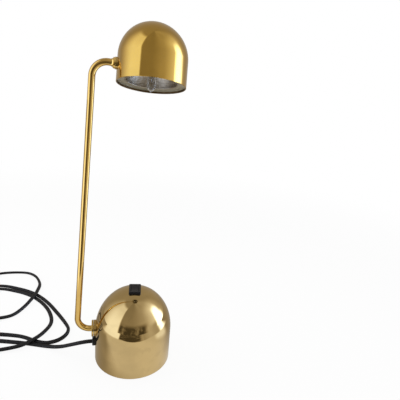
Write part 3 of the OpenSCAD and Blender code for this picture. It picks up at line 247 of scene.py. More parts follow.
class Tree:
    """A node tree, and the few ways in which nodes are added to it."""

    def __init__(self, tree: bpy.types.NodeTree) -> None:
        """Empties the tree and keeps it."""
        self.tree = tree
        tree.nodes.clear()

    def add(
        self,
        kind: str,
        settings: dict[str, Any] | None = None,
        sockets: dict[str | int, Any] | None = None,
        out: str | int = 0,
    ) -> Wire | None:
        """Adds a node of any kind.

        Args:
            kind: The node's type.
            settings: Its own settings, by name.
            sockets: Its inputs, by name or place, each a value, a wire or a list of wires.
            out: The output that is wanted, by name or place.

        Returns:
            That output, or None where it has no outputs.
        """
        node = self.tree.nodes.new(kind)
        for name, value in (settings or {}).items():
            setattr(node, name, value)
        for name, value in (sockets or {}).items():
            wires = value if isinstance(value, list) else [value]
            if isinstance(wires[0], Wire):
                for wire in wires:
                    self.tree.links.new(wire.socket, node.inputs[name])
            else:
                node.inputs[name].default_value = value
        return Wire(self.tree, node.outputs[out]) if len(node.outputs) else None

    def place(self) -> Wire:
        """The place on the piece, in metres of the model's own frame."""
        return self.add("ShaderNodeTexCoord", out="Object")

    def place_far(self) -> Wire:
        """The direction in which the world is looked at."""
        return self.add("ShaderNodeTexCoord", out="Generated")

    def parts(self, vector: Wire) -> tuple[Wire, Wire, Wire]:
        """X, Y and Z of a vector."""
        node = self.add("ShaderNodeSeparateXYZ", sockets={0: vector}).socket.node
        return tuple(Wire(self.tree, o) for o in node.outputs)

    def vector(self, **parts: Any) -> Wire:
        """A vector from its parts, each a number or a wire."""
        return self.add("ShaderNodeCombineXYZ", sockets=parts)

    def grain(self, scale: float, detail: float = 3.0, vector: Wire | None = None) -> Wire:
        """Even noise, about 0.5 in its middle, with so many grains to the metre."""
        sockets = {"Vector": vector or self.place(), "Scale": scale, "Detail": detail}
        return self.add("ShaderNodeTexNoise", sockets=sockets)

    def blend(self, factor: Wire, low: Colour, high: Colour) -> Wire:
        """The first colour where the factor is 0, and the second where it is 1."""
        sockets = {0: factor, 6: (*low, 1.0), 7: (*high, 1.0)}
        return self.add("ShaderNodeMix", {"data_type": "RGBA"}, sockets, out=2)

    def bump(self, height: Wire, depth: float, under: dict[str, Wire] | None = None) -> Wire:
        """The normal bent by a height from 0 to 1, whose 1 stands so many metres up."""
        sockets = {"Height": height, "Distance": depth, **(under or {})}
        return self.add("ShaderNodeBump", sockets=sockets)

    def surface(self, colour: Wire, rough: Wire, normal: Wire, fixed: dict[str, Any]) -> Wire:
        """The main shader: what varies over the surface, and the sockets that don't."""
        varying = {"Base Color": colour, "Roughness": rough, "Normal": normal}
        return self.add("ShaderNodeBsdfPrincipled", sockets={**varying, **fixed})


# ---------------------------------------------------------------- finishes


@dataclass(frozen=True)
class Finish:
    """A surface finish, made into a material once and shared after that."""

    name: str
    colour: Colour

    def material(self) -> bpy.types.Material:
        """Makes the finish's material on its first use.

        Returns:
            The material.
        """
        known = bpy.data.materials.get(self.name + "_finish")
        if known is not None:
            return known
        made = bpy.data.materials.new(self.name + "_finish")
        made.use_nodes = True
        tree = Tree(made.node_tree)
        shader = self.shader(tree)
        tree.add("ShaderNodeOutputMaterial", sockets={"Surface": shader})
        return made

    def shader(self, tree: Tree) -> Wire:
        """Fills the tree and returns its shader."""
        raise NotImplementedError

    def shades(self, tree: Tree, factor: Wire, depth: float) -> Wire:
        """The colour, which loses a share of its brightness where the factor is 0."""
        dark = tuple(c * (1 - depth) for c in self.colour)
        return tree.blend(factor, dark, self.colour)


@dataclass(frozen=True)
class Brass(Finish):
    """Brass from mirror polish to satin, with faint handling marks and tarnish."""

    rough: float = 0.07
    smudge: float = 0.05
    tarnish: float = 0.10
    lacquer: float = 0.12

    def shader(self, tree: Tree) -> Wire:
        """Metal whose gloss and colour drift a little, under a thin lacquer.

        Args:
            tree: The tree to fill.

        Returns:
            The shader.
        """
        drift = tree.grain(26.0, 4.0)
        marks = tree.grain(190.0, 5.0).eased(0.42, 0.72)
        blots = tree.grain(75.0, 7.0).eased(0.50, 0.64)
        tone = self.shades(tree, drift.eased(0.34, 0.66) * (1.0 - 0.5 * blots), self.tarnish)
        rough = self.rough + self.smudge * (marks * drift.eased(0.40, 0.65)).most(0.6 * blots)
        normal = tree.bump(tree.grain(5200.0, 2.0), 0.0000003)
        coat = {"Metallic": 1.0, "Coat Weight": self.lacquer, "Coat Roughness": 0.03}
        return tree.surface(tone, rough, normal, coat)


@dataclass(frozen=True)
class SatinMetal(Finish):
    """Plain metal with a fine grain that can run one way."""

    rough: float = 0.35
    stretch: Axis | None = None
    grains: float = 900.0

    def shader(self, tree: Tree) -> Wire:
        """Metal with a grain in its gloss, colour and surface.

        Args:
            tree: The tree to fill.

        Returns:
            The shader.
        """
        vector = tree.place()
        if self.stretch is not None:
            sizes = [1.0, 1.0, 1.0]
            sizes[self.stretch.value] = 0.04
            sockets = {"Vector": vector, "Scale": tuple(sizes)}
            vector = tree.add("ShaderNodeMapping", sockets=sockets)
        grain = tree.grain(self.grains, 3.0, vector)
        tone = self.shades(tree, tree.grain(60.0, 3.0).eased(0.3, 0.7), 0.16)
        rough = self.rough + 0.12 * grain
        return tree.surface(tone, rough, tree.bump(grain, 0.00001), {"Metallic": 1.0})


@dataclass(frozen=True)
class Moulded(Finish):
    """Moulded plastic, rubber or ceramic with a fine skin and softened edges."""

    rough: float = 0.35
    skin: float = 1400.0
    depth: float = 0.000003
    edge: float = 0.0
    gloss: float = 0.5

    def shader(self, tree: Tree) -> Wire:
        """Plastic with a fine skin whose gloss drifts.

        Args:
            tree: The tree to fill.

        Returns:
            The shader.
        """
        skin = tree.grain(self.skin, 3.0)
        tone = self.shades(tree, tree.grain(45.0, 3.0).eased(0.3, 0.7), 0.18)
        under = {}
        if self.edge > 0:
            under["Normal"] = tree.add("ShaderNodeBevel", {"samples": 8}, {"Radius": self.edge})
        normal = tree.bump(skin, self.depth, under)
        rough = self.rough + 0.1 * skin
        return tree.surface(tone, rough, normal, {"Specular IOR Level": self.gloss})


@dataclass(frozen=True)
class Felt(Finish):
    """Pressed felt."""

    def shader(self, tree: Tree) -> Wire:
        """Rough fibres in two sizes.

        Args:
            tree: The tree to fill.

        Returns:
            The shader.
        """
        fibres = tree.grain(2600.0, 6.0)
        tufts = tree.grain(420.0, 4.0)
        height = 0.6 * fibres + 0.4 * tufts
        tone = self.shades(tree, height.eased(0.35, 0.65), 0.4)
        rough = 0.95 - 0.05 * tufts
        return tree.surface(tone, rough, tree.bump(height, 0.0003), {"Sheen Weight": 0.3})


@dataclass(frozen=True)
class Layered(Finish):
    """Stacked sheets or wound turns, as fine ridges across one axis."""

    across: Axis = Axis.Y
    pitch: float = 0.0005
    rough: float = 0.4
    depth: float = 0.00012

    def shader(self, tree: Tree) -> Wire:
        """Ridges in the surface and in the colour.

        Args:
            tree: The tree to fill.

        Returns:
            The shader.
        """
        along = tree.parts(tree.place())[self.across.value]
        ridges = 0.5 + 0.5 * (along * (2 * math.pi / self.pitch)).sine()
        wide = tree.grain(80.0, 3.0)
        tone = self.shades(tree, (ridges * 0.7 + wide * 0.5).kept(), 0.35)
        rough = self.rough + 0.2 * wide
        return tree.surface(tone, rough, tree.bump(ridges, self.depth), {"Metallic": 1.0})


@dataclass(frozen=True)
class ClearGlass(Finish):
    """Clear heat-proof glass with a faint draw in its wall."""

    def shader(self, tree: Tree) -> Wire:
        """Clear glass whose surface is a little uneven, whitened at its grazing edges as a painted
        highlight.

        Args:
            tree: The tree to fill.

        Returns:
            The shader.
        """
        draw = tree.grain(240.0, 2.0)
        tone = self.shades(tree, draw, 0.02)
        fixed = {"IOR": 1.46, "Transmission Weight": 1.0}
        clear = tree.surface(tone, 0.02 * draw, tree.bump(draw, 0.00001), fixed)
        # Painted highlight: a pale diffuse layer mixed in at grazing angles stands in for the
        # bright edges of the thick glass.
        edge = tree.add("ShaderNodeLayerWeight", sockets={"Blend": 0.35}, out="Facing")
        painted_edge_highlight = tree.add("ShaderNodeBsdfDiffuse", sockets={"Color": (0.75, 0.75, 0.74, 1.0)})
        share = 0.75 * edge**2.0
        return tree.add("ShaderNodeMixShader", sockets={0: share, 1: clear, 2: painted_edge_highlight})


class Finishes:
    """All finishes of the lamp, by the record's slot names."""

    base_brass = Brass("base_brass", (0.62, 0.45, 0.195), rough=0.02, smudge=0.04, tarnish=0.14)
    shade_brass = Brass("shade_brass", (0.60, 0.375, 0.072), 0.075, 0.03, lacquer=0.35)
    shade_inside = Brass("shade_inside", (0.19, 0.125, 0.062), rough=0.42, smudge=0.1)
    arm_brass = Brass("arm_brass", (0.76, 0.50, 0.145), rough=0.05)
    hub_brass = Brass("hub_brass", (0.66, 0.45, 0.14), rough=0.08)
    pivot_brass = Brass("pivot_brass", (0.52, 0.35, 0.12), rough=0.12)
    collar_brass = Brass("collar_brass", (0.60, 0.41, 0.13), rough=0.12)
    # The ferrule's brass is paler than the rest as a painted highlight, which offsets the dark
    # surroundings that it mirrors.
    ferrule_brass = Brass("ferrule_brass", (0.90, 0.62, 0.19), rough=0.1)
    hidden_brass = Brass("hidden_brass", (0.62, 0.47, 0.24), rough=0.3, smudge=0.2, lacquer=0.0)
    plate_steel = SatinMetal("plate_steel", (0.56, 0.57, 0.59), 0.38, Axis.X)
    steel = SatinMetal("steel", (0.60, 0.60, 0.62), 0.3)
    steel_dark = SatinMetal("steel_dark", (0.17, 0.17, 0.18), 0.4)
    contact_metal = SatinMetal("contact_metal", (0.70, 0.66, 0.56), 0.28, Axis.Z)
    pin_nickel = SatinMetal("pin_nickel", (0.74, 0.73, 0.70), 0.2, Axis.X)
    reflector = SatinMetal("reflector_aluminium", (0.485, 0.43, 0.345), 0.40, None, 600.0)
    flange = Moulded("reflector_flange", (0.34, 0.30, 0.205), 0.45)
    felt = Felt("felt", (0.035, 0.035, 0.037))
    lamination = Layered("lamination", (0.26, 0.26, 0.28), Axis.Y, 0.0007, 0.45)
    copper = Layered("copper", (0.66, 0.30, 0.14), Axis.Z, 0.0006, 0.3, 0.0002)
    bobbin_white = Moulded("bobbin_white", (0.80, 0.77, 0.68), 0.45)
    ceramic = Moulded("ceramic", (0.84, 0.82, 0.75), 0.25, 600.0, 0.00001)
    gland_black = Moulded("gland_black", (0.008, 0.008, 0.009), 0.42, edge=0.0003, gloss=0.35)
    cord_black = Moulded("cord_black", (0.007, 0.007, 0.009), 0.42, 700.0, gloss=0.3)
    switch_black = Moulded("switch_black", (0.008, 0.008, 0.010), 0.36, edge=0.0003, gloss=0.4)
    rocker_black = Moulded("rocker_black", (0.010, 0.010, 0.012), 0.3, gloss=0.45)
    plug_black = Moulded("plug_black", (0.02, 0.02, 0.021), 0.4)
    lead_blue = Moulded("lead_blue", (0.06, 0.13, 0.42), 0.35)
    lead_white = Moulded("lead_white", (0.80, 0.79, 0.74), 0.4)
    glass = ClearGlass("bulb_glass", (0.98, 0.985, 0.99))
    tungsten = SatinMetal("tungsten", (0.36, 0.36, 0.38), 0.35)


# ---------------------------------------------------------------- mesh tools


def turned(a: float = 0.0, b: float = 0.0, c: float = 0.0) -> Matrix:
    """Turns about X, then Y, then Z, by angles in degrees."""
    x, y, z = (Matrix.Rotation(math.radians(t), 4, n) for t, n in ((a, "X"), (b, "Y"), (c, "Z")))
    return z @ y @ x


def shifted(x: float, y: float, z: float) -> Matrix:
    """Moves by three distances in millimetres."""
    return Matrix.Translation(Vector((x, y, z)))


def make(
    name: str,
    points: Sequence[Point],
    faces: Sequence[Sequence[int]],
    place: Matrix | None = None,
    crease: float = 32.0,
) -> Piece:
    """Makes a piece from points and faces.

    Args:
        name: The piece's name.
        points: Its points, in millimetres.
        faces: Its faces, as places in the list of points.
        place: Where it stands in the model's frame, in millimetres.
        crease: Angle above which an edge stays sharp, in degrees.

    Returns:
        The piece, at the origin, with its place in its mesh.
    """
    mesh = bpy.data.meshes.new(name)
    mesh.from_pydata([tuple(p) for p in points], [], [tuple(f) for f in faces])
    mesh.transform(Matrix.Scale(MM, 4) @ (place or Matrix.Identity(4)))
    piece = bpy.data.objects.new(name, mesh)
    bpy.context.scene.collection.objects.link(piece)
    finish_mesh(mesh, crease)
    return piece


def finish_mesh(mesh: bpy.types.Mesh, crease: float) -> None:
    """Closes seams, turns faces outwards and sets which edges stay sharp.

    Args:
        mesh: The mesh to finish.
        crease: Angle above which an edge stays sharp, in degrees.
    """
    work = bmesh.new()
    work.from_mesh(mesh)
    bmesh.ops.remove_doubles(work, verts=work.verts, dist=0.000002)
    bmesh.ops.recalc_face_normals(work, faces=work.faces)
    limit = math.radians(crease)
    for face in work.faces:
        face.smooth = True
    for edge in work.edges:
        edge.smooth = not (edge.is_manifold and edge.calc_face_angle(0.0) > limit)
    work.to_mesh(mesh)
    work.free()


def rounded(corners: Sequence[tuple[float, float, float]], steps: int = 5) -> list[Point]:
    """Rounds the corners of a closed outline.

    Args:
        corners: Its corners, each with its radius, which is 0 where it stays sharp.
        steps: Number of spans in each rounding.

    Returns:
        The points of the rounded outline.
    """
    out: list[Point] = []
    count = len(corners)
    for i, (x, y, r) in enumerate(corners):
        here = Vector((x, y))
        back = (Vector(corners[i - 1][:2]) - here).normalized()
        ahead = (Vector(corners[(i + 1) % count][:2]) - here).normalized()
        if r <= 0:
            out.append((x, y))
            continue
        half = back.angle(ahead) / 2
        run = r / math.tan(half)
        middle = here + (back + ahead).normalized() * (r / math.sin(half))
        start, end = here + back * run - middle, here + ahead * run - middle
        turn = start.angle_signed(end)
        for k in range(steps + 1):
            a = -turn * k / steps
            out.append((
                middle.x + start.x * math.cos(a) - start.y * math.sin(a),
                middle.y + start.x * math.sin(a) + start.y * math.cos(a),
            ))
    return out


def arc(centre: Point, radius: float, start: float, end: float, steps: int) -> list[Point]:
    """Points on an arc between two angles in degrees, both ends included."""
    angles = [math.radians(start + (end - start) * k / steps) for k in range(steps + 1)]
    return [(centre[0] + radius * math.cos(a), centre[1] + radius * math.sin(a)) for a in angles]


def lathe(
    name: str, outline: Sequence[Point], place: Matrix, segments: int = 128, crease: float = 32.0
) -> Piece:
    """Turns a closed outline about the Z axis.

    Args:
        name: The piece's name.
        outline: Points of radius and height, as a closed loop.
        place: Where the axis stands, in millimetres.
        segments: Number of steps round the axis.
        crease: Angle above which an edge stays sharp, in degrees.

    Returns:
        The turned piece.
    """
    points, faces, count = [], [], len(outline)
    for k in range(segments):
        a = 2 * math.pi * k / segments
        points += [(r * math.cos(a), r * math.sin(a), z) for r, z in outline]
    for k in range(segments):
        one, two = k * count, (k + 1) % segments * count
        for i in range(count):
            j = (i + 1) % count
            if outline[i][0] < 1e-6 and outline[j][0] < 1e-6:
                continue
            ring = [one + i, one + j, two + j, two + i]
            if outline[i][0] < 1e-6:
                ring = [one + i, one + j, two + j]
            elif outline[j][0] < 1e-6:
                ring = [one + i, one + j, two + i]
            faces.append(ring)
    return make(name, points, faces, place, crease)


def bridge(rings: Sequence[Sequence[Point]], caps: bool = True) -> tuple[list[Point], list]:
    """Joins rings of equal count into a skin.

    Args:
        rings: The rings, in order.
        caps: Whether its two ends are closed.

    Returns:
        Its points and faces.
    """
    count = len(rings[0])
    points = [p for ring in rings for p in ring]
    faces: list = []
    for i in range(len(rings) - 1):
        for k in range(count):
            a, b = i * count + k, i * count + (k + 1) % count
            faces.append((a, a + count, b + count, b))
    if caps:
        faces.append(tuple(range(count)))
        faces.append(tuple(reversed(range(len(points) - count, len(points)))))
    return points, faces


def smooth_route(route: Sequence[Point], steps: int) -> np.ndarray:
    """Smooth curve through the points of a route.

    Args:
        route: The route's points, of any number of values each.
        steps: Points to each span.

    Returns:
        The curve's points.
    """
    p = np.array(route, float)
    last = len(p) - 1
    out = []
    for i in range(last):
        a, b, c, d = p[max(i - 1, 0)], p[i], p[i + 1], p[min(i + 2, last)]
        for j in range(steps):
            t = j / steps
            out.append(0.5 * (
                2 * b + (c - a) * t + (2 * a - 5 * b + 4 * c - d) * t**2
                + (3 * b - a - 3 * c + d) * t**3
            ))
    out.append(p[last])
    return np.array(out)


def swept_rings(path: np.ndarray, section: Sequence[Point], ref: Point) -> list[np.ndarray]:
    """Rings of a section along a path.

    Args:
        path: Points of the path, with a roll in degrees as a fourth value where it has one.
        section: Points of the section, across and up.
        ref: Direction that the path never takes.

    Returns:
        One ring of points for each point of the path.
    """
    places = path[:, :3]
    rolls = np.radians(path[:, 3]) if path.shape[1] > 3 else np.zeros(len(path))
    shape = np.array(section, float)
    rings = []
    for i, here in enumerate(places):
        ahead = places[min(i + 1, len(places) - 1)] - places[max(i - 1, 0)]
        ahead /= np.linalg.norm(ahead)
        side = np.cross(ahead, ref)
        side /= np.linalg.norm(side)
        rise = np.cross(side, ahead)
        c, s = math.cos(rolls[i]), math.sin(rolls[i])
        u, v = side * c + rise * s, rise * c - side * s
        rings.append(here + shape[:, :1] * u + shape[:, 1:] * v)
    return rings


def oval(width: float, height: float, sides: int, power: float = 2.0) -> list[Point]:
    """Points of an oval, squarer with a higher power.

    Args:
        width: Its width.
        height: Its height.
        sides: Number of its points.
        power: 2 for an ellipse, and more for a squarer one.

    Returns:
        Its points.
    """
    out = []
    for k in range(sides):
        a = 2 * math.pi * k / sides
        x, y = (math.copysign(abs(v) ** (2 / power), v) for v in (math.cos(a), math.sin(a)))
        out.append((width / 2 * x, height / 2 * y))
    return out


def coil(
    name: str, radius: float, wire: float, turns: float, steps: int, ends: Point, place: Matrix
) -> Piece:
    """Winds round wire into a coil about the Z axis.

    Args:
        name: The piece's name.
        radius: Radius of the coil.
        wire: Thickness of the wire.
        turns: Number of turns.
        steps: Number of points to a turn.
        ends: Heights of the coil's two ends.
        place: Where it stands, in millimetres.

    Returns:
        The coil.
    """
    path, last = [], int(turns * steps)
    for k in range(last + 1):
        a = 2 * math.pi * k / steps
        height = ends[0] + (ends[1] - ends[0]) * k / (turns * steps)
        path.append((radius * math.cos(a), radius * math.sin(a), height))
    rings = swept_rings(np.array(path), oval(wire, wire, 8), (0, 0, 1))
    return make(name, *bridge(rings), place, crease=60.0)


def carve(piece: Piece, tools: Sequence[Piece], crease: float = 32.0) -> None:
    """Cuts tools out of a piece and deletes them.

    Args:
        piece: The piece to cut.
        tools: The pieces that cut it.
        crease: Angle above which an edge stays sharp, in degrees.
    """
    for tool in tools:
        cutter = piece.modifiers.new("cut", "BOOLEAN")
        cutter.operation = "DIFFERENCE"
        cutter.solver = "EXACT"
        cutter.object = tool
    settle(piece, crease)
    for tool in tools:
        bpy.data.objects.remove(tool)


def settle(piece: Piece, crease: float = 32.0) -> None:
    """Makes a piece's modifiers into a plain mesh and removes them.

    Args:
        piece: The piece.
        crease: Angle above which an edge stays sharp, in degrees.
    """
    mesh = plain_mesh(piece)
    piece.modifiers.clear()
    piece.data = mesh
    finish_mesh(mesh, crease)


def plain_mesh(piece: Piece) -> bpy.types.Mesh:
    """A new mesh of a piece, with its modifiers worked in.

    Args:
        piece: The piece.

    Returns:
        The mesh.
    """
    bpy.context.view_layer.update()
    graph = bpy.context.evaluated_depsgraph_get()
    return bpy.data.meshes.new_from_object(piece.evaluated_get(graph))


def merged(piece: Piece, others: Sequence[Piece]) -> Piece:
    """Joins others into a piece and removes them.

    Args:
        piece: The piece that stays.
        others: The pieces that are joined to it.

    Returns:
        The piece.
    """
    work = bmesh.new()
    for part in (piece, *others):
        work.from_mesh(part.data)
    work.to_mesh(piece.data)
    work.free()
    for other in others:
        bpy.data.objects.remove(other)
    return piece


def rod(name: str, radius: float, low: float, high: float, place: Matrix) -> Piece:
    """A plain rod, used as a cutting tool."""
    outline = [(0.0, low), (radius, low), (radius, high), (0.0, high)]
    return lathe(name, outline, place, segments=64)


def block(name: str, size: Point, low: float, high: float, place: Matrix) -> Piece:
    """A plain block, used as a cutting tool."""
    ends = [[(a * size[0], b * size[1], z) for a, b in SQUARE] for z in (low, high)]
    return make(name, *bridge(ends), place)


# ---------------------------------------------------------------- the model


class Model:
    """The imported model, and the few ways in which pieces are tied to it."""

    def __init__(self) -> None:
        """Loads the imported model."""
        self.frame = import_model()
        self.cad_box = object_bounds()

    def dress(self, finish: Finish, *nodes: str) -> None:
        """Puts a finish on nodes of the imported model.

        Args:
            finish: The finish.
            nodes: Names of the nodes.
        """
        for name in nodes:
            node = self.frame["nodes"][name]
            for slot in node.material_slots:
                slot.material = finish.material()
            LOG.info("dressed %s in %s", name, finish.name)

    def mount(self, piece: Piece, finish: Finish, body: Body, *replaces: str) -> Piece:
        """Finishes a piece and lets it ride on a body.

        Args:
            piece: The piece.
            finish: Its finish, which is named as the record's material slot.
            body: The body that it rides on.
            replaces: Nodes that it stands for.

        Returns:
            The piece.
        """
        if not piece.data.materials:
            piece.data.materials.append(finish.material())
        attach(piece, body.value)
        if replaces:
            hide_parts(*replaces)
        LOG.info("made %s, %d faces", piece.name, len(piece.data.polygons))
        return piece


# ---------------------------------------------------------------- studio


@dataclass
class Tent:
    """White tent that the metal mirrors, with a dim opening towards the camera.

    Angles are in degrees: turns from the camera's side to its right, and rises from the floor.
    A stretch of four says where a thing starts, is full, begins to fade and ends. Levels are
    brightnesses, 1 being white.
    """

    opening: Point = (-38, -31, 38, 66)
    opening_level: Point = (0.38, 0.26)
    brighter: Point = (0, 60)
    dim_turn: Point = (-38, -31, 46, 72)
    dim_rise: Point = (14, 27)
    dim_level: Point = (0.09, 0.30)
    grains: float = 4.0
    spots: Point = (0.46, 0.72)
    low: Point = (6, 18)
    frame: Point = (31, 36, 42, 46)
    frame_level: float = 0.28
    column: Point = (45, 49, 55, 62)
    column_level: float = 0.14
    wall_level: float = 0.46
    left: Point = (-122, -66)
    left_top: Point = (58, 68)
    left_fall: Point = (18, 55, 0.72)
    left_level: float = 1.02
    right: Point = (30, 66, 112, 145)
    right_fall: Point = (42, 72, 0.25)
    right_level: float = 0.36
    halo: Point = (58, 90, 104, 126)
    halo_fall: Point = (34, 66, 0.2)
    halo_level: float = 0.40
    strip_start: Point = (83, 97)
    strip_end: Point = (104, 124)
    strip_slant: float = 6.0
    strip_rise: Point = (-14, -4, 16, 46)
    strip_level: float = 3.2
    nook: Point = (54, 82, 86, 91)
    nook_level: float = 0.45

    def light(self, tree: Tree, turn: Wire, rise: Easing, gate: Wire) -> Wire:
        """Brightness of the tent.

        Args:
            tree: The tree to fill.
            turn: The turn at which it is seen.
            rise: The rise at which it is seen.
            gate: The same turn as the opening takes it.

        Returns:
            The brightness.
        """
        low = rise.fading(*self.low)
        opening = gate.within(*self.opening)
        plain, gain = self.opening_level
        dark = plain + gain * gate.eased(*self.brighter)
        dark = dark - self.frame_level * gate.within(*self.frame) * low
        spots = tree.grain(self.grains, 5.0).eased(*self.spots)
        dim = rise.fading(*self.dim_rise) * gate.within(*self.dim_turn)
        dark = dark + (self.dim_level[0] + self.dim_level[1] * spots - dark) * dim
        left = turn.eased(*self.left) * (1.0 - gate.eased(*self.opening[:2]))
        left = left * rise.fading(*self.left_top) * rise.fading(*self.left_fall)
        right = turn.within(*self.right) * rise.fading(*self.right_fall)
        halo = turn.within(*self.halo) * rise.fading(*self.halo_fall)
        strip = turn.eased(*self.strip_start)
        strip = strip * (turn - self.strip_slant * low).fading(*self.strip_end)
        strip = strip * rise.within(*self.strip_rise)
        wall = self.wall_level + self.left_level * left
        wall = wall + self.right_level * right + self.halo_level * halo
        wall = wall * (1.0 - self.nook_level * (low * turn.within(*self.nook)))
        wall = wall + self.strip_level * strip
        column = self.column_level * gate.within(*self.column) * low
        return opening * dark + (1.0 - opening) * wall + column


@dataclass
class Ground:
    """The floor as the metal mirrors it, with an edge, the lamp's shadow and a glare.

    Places are in metres from the lamp, turns in degrees, and levels brightnesses.
    """

    level: float = 0.88
    edge: Point = (0.225, 0.245)
    round_edge: Point = (0.06, 0.11)
    round_end: Point = (-0.05, 0.1)
    shadow_x: Point = (-0.30, -0.17, -0.03, 0.02)
    shadow_y: Point = (-0.066, -0.028)
    shadow_rear: Point = (-0.045, 0.03)
    shadow_depth: float = 0.52
    glare_x: Point = (0.10, 0.17)
    glare_turn: Point = (64, 78, 98, 112)
    glare_level: float = 0.50
    below: float = -9.0
    gate: Point = (1.45, 4.0)

    def light(self, tree: Tree, x: Wire, y: Wire, turn: Wire, ahead: Wire) -> Wire:
        """Brightness of the floor, and of the tent beyond its edge.

        Args:
            tree: The tree to fill.
            x: The place's X.
            y: The place's Y.
            turn: The place's turn from the camera's side.
            ahead: Its distance towards the floor's edge.

        Returns:
            The brightness.
        """
        past = ahead.eased(*self.edge)
        past = past.most((x * x + y * y).eased(*self.round_edge) * y.fading(*self.round_end))
        shadow = y.eased(*self.shadow_y) * x.within(*self.shadow_x)
        shadow = shadow.most(y.eased(*self.shadow_rear))
        glare = x.eased(*self.glare_x) * turn.within(*self.glare_turn)
        near = self.level * (1.0 - self.shadow_depth * shadow) + self.glare_level * glare
        gate = turn * self.gate[0] + self.gate[1]
        beyond = Tent().light(tree, turn, Number(self.below), gate)
        return near + (beyond - near) * past


@dataclass
class Studio:
    """Camera, floor, world and lamps."""

    eye: Point = (-46.77, -459.36, 381.12)
    right: Point = (0.96715, -0.23881, 0.08718)
    up: Point = (-0.00853, 0.31224, 0.94997)
    ahead: Point = (0.25408, 0.91950, -0.29994)
    focal: float = 380.124
    nudge: Point = (0.068, 0.985)
    frame_px: float = 400.0
    sensor: float = 36.0
    edge_turn: float = 16.0
    floor_size: float = 120000.0
    floor_grey: Point = (0.88, 0.88, 0.88, 1.0)
    floor_white: float = 0.92
    floor_fade: Point = (0.2, 1.5)
    ambient: float = 0.62
    green: Point = (0.17, 0.18)
    blue: Point = (0.45, 0.52)
    brightest: float = 2.6
    RAYS = ("Camera", "Transmission", "Glossy")

    def camera(self) -> None:
        """Sets the camera where the photograph was taken from."""
        right, up, ahead = (Vector(v) for v in (self.right, self.up, self.ahead))
        dx, dy = self.nudge[0] / self.focal, self.nudge[1] / self.focal
        ahead = (ahead - dx * right + dy * up).normalized()
        right = (right - ahead * right.dot(ahead)).normalized()
        data = bpy.data.cameras.new("camera")
        data.sensor_width = self.sensor
        data.lens = self.focal * self.sensor / self.frame_px
        data.clip_start = 0.01
        camera = bpy.data.objects.new("camera", data)
        columns = (right, right.cross(ahead), -ahead, Vector(self.eye) * MM)
        rows = [[column[i] for column in columns] for i in range(3)]
        camera.matrix_world = Matrix((*rows, (0, 0, 0, 1)))
        bpy.context.scene.collection.objects.link(camera)
        bpy.context.scene.camera = camera

    def around(self, turn: float, distance: float, height: float) -> Point:
        """A place so far round from the camera's side, so far off and so high."""
        a = math.atan2(-self.ahead[1], -self.ahead[0]) + math.radians(turn)
        return distance * math.cos(a), distance * math.sin(a), height

    def heading(self, x: Wire, y: Wire) -> Wire:
        """Turn of a direction from the camera's side to its right, in degrees."""
        fx, fy, _ = self.around(0.0, 1.0, 0.0)
        return (y * fx - x * fy).bearing(x * fx + y * fy)

    def rays(self, tree: Tree) -> tuple[Wire, Wire]:
        """Rays that look straight or through glass at a thing, and those that mirror it."""
        seen = [tree.add("ShaderNodeLightPath", out=f"Is {kind} Ray") for kind in self.RAYS]
        return seen[0].most(seen[1]), seen[2]

    def glow(self, tree: Tree, kind: str, level: Wire, glossy: Wire) -> Wire:
        """Light that metal mirrors warmer where it is dim and cooler where it is bright.

        Args:
            tree: The tree to fill.
            kind: Type of the node that gives the light.
            level: Its brightness.
            glossy: 1 for the rays that mirror it.

        Returns:
            The light.
        """
        held = level - (level - self.brightest).most(0.0)
        tints = [1.0 - glossy * (less - more * held) for less, more in (self.green, self.blue)]
        colour = tree.vector(X=level, Y=level * tints[0], Z=level * tints[1])
        return tree.add(kind, sockets={"Color": colour, "Strength": 1.0})

    def floor(self) -> None:
        """Makes the pale floor, which keeps the lamp's shadow."""
        size = self.floor_size
        floor = make("floor", [(a * size, b * size, 0) for a, b in SQUARE], [(0, 1, 2, 3)])
        made = bpy.data.materials.new("floor_pale")
        made.use_nodes = True
        tree = Tree(made.node_tree)
        direct, glossy = self.rays(tree)
        x, y, _ = tree.parts(tree.place())
        edge_x, edge_y, _ = self.around(self.edge_turn, 1.0, 0.0)
        ahead = x * edge_x + y * edge_y
        level = Ground().light(tree, x, y, self.heading(x, y), ahead)
        light = self.glow(tree, "ShaderNodeEmission", 1.0 - glossy * (1.0 - level), glossy)
        matt = tree.add("ShaderNodeBsdfDiffuse", sockets={"Color": self.floor_grey})
        share = direct * (x * x + y * y).eased(*self.floor_fade, self.floor_white, 1.0)
        sockets = {0: share.most(glossy), 1: matt, 2: light}
        both = tree.add("ShaderNodeMixShader", sockets=sockets)
        tree.add("ShaderNodeOutputMaterial", sockets={"Surface": both})
        floor.data.materials.append(made)
        floor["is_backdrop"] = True

    def world(self) -> None:
        """Fills the world: white to the eye, even light, and the tent to metal."""
        world = bpy.data.worlds.new("tent")
        bpy.context.scene.world = world
        world.use_nodes = True
        tree = Tree(world.node_tree)
        x, y, z = tree.parts(tree.place_far())
        turn = self.heading(x, y)
        tent = Tent().light(tree, turn, z.rise(), turn)
        direct, glossy = self.rays(tree)
        plain = direct + (1.0 - direct) * self.ambient
        level = plain + (tent - plain) * glossy
        light = self.glow(tree, "ShaderNodeBackground", level, glossy)
        tree.add("ShaderNodeOutputWorld", sockets={"Surface": light})

    def lamp(self, name: str, at: Point, aim: Point, size: Point, level: float) -> None:
        """Adds a soft lamp.

        Args:
            name: Its name.
            at: Its place, in millimetres.
            aim: The place that it faces, in millimetres.
            size: Its width and height, in millimetres.
            level: How bright its face is, 1 being white.
        """
        data = bpy.data.lights.new(name, "AREA")
        data.shape = "RECTANGLE"
        data.size, data.size_y = size[0] * MM, size[1] * MM
        data.energy = level * math.pi * data.size * data.size_y
        lamp = bpy.data.objects.new(name, data)
        towards = (Vector(aim) - Vector(at)).normalized()
        lamp.rotation_euler = towards.to_track_quat("-Z", "Y").to_euler()
        lamp.location = Vector(at) * MM
        lamp.visible_glossy = False
        bpy.context.scene.collection.objects.link(lamp)

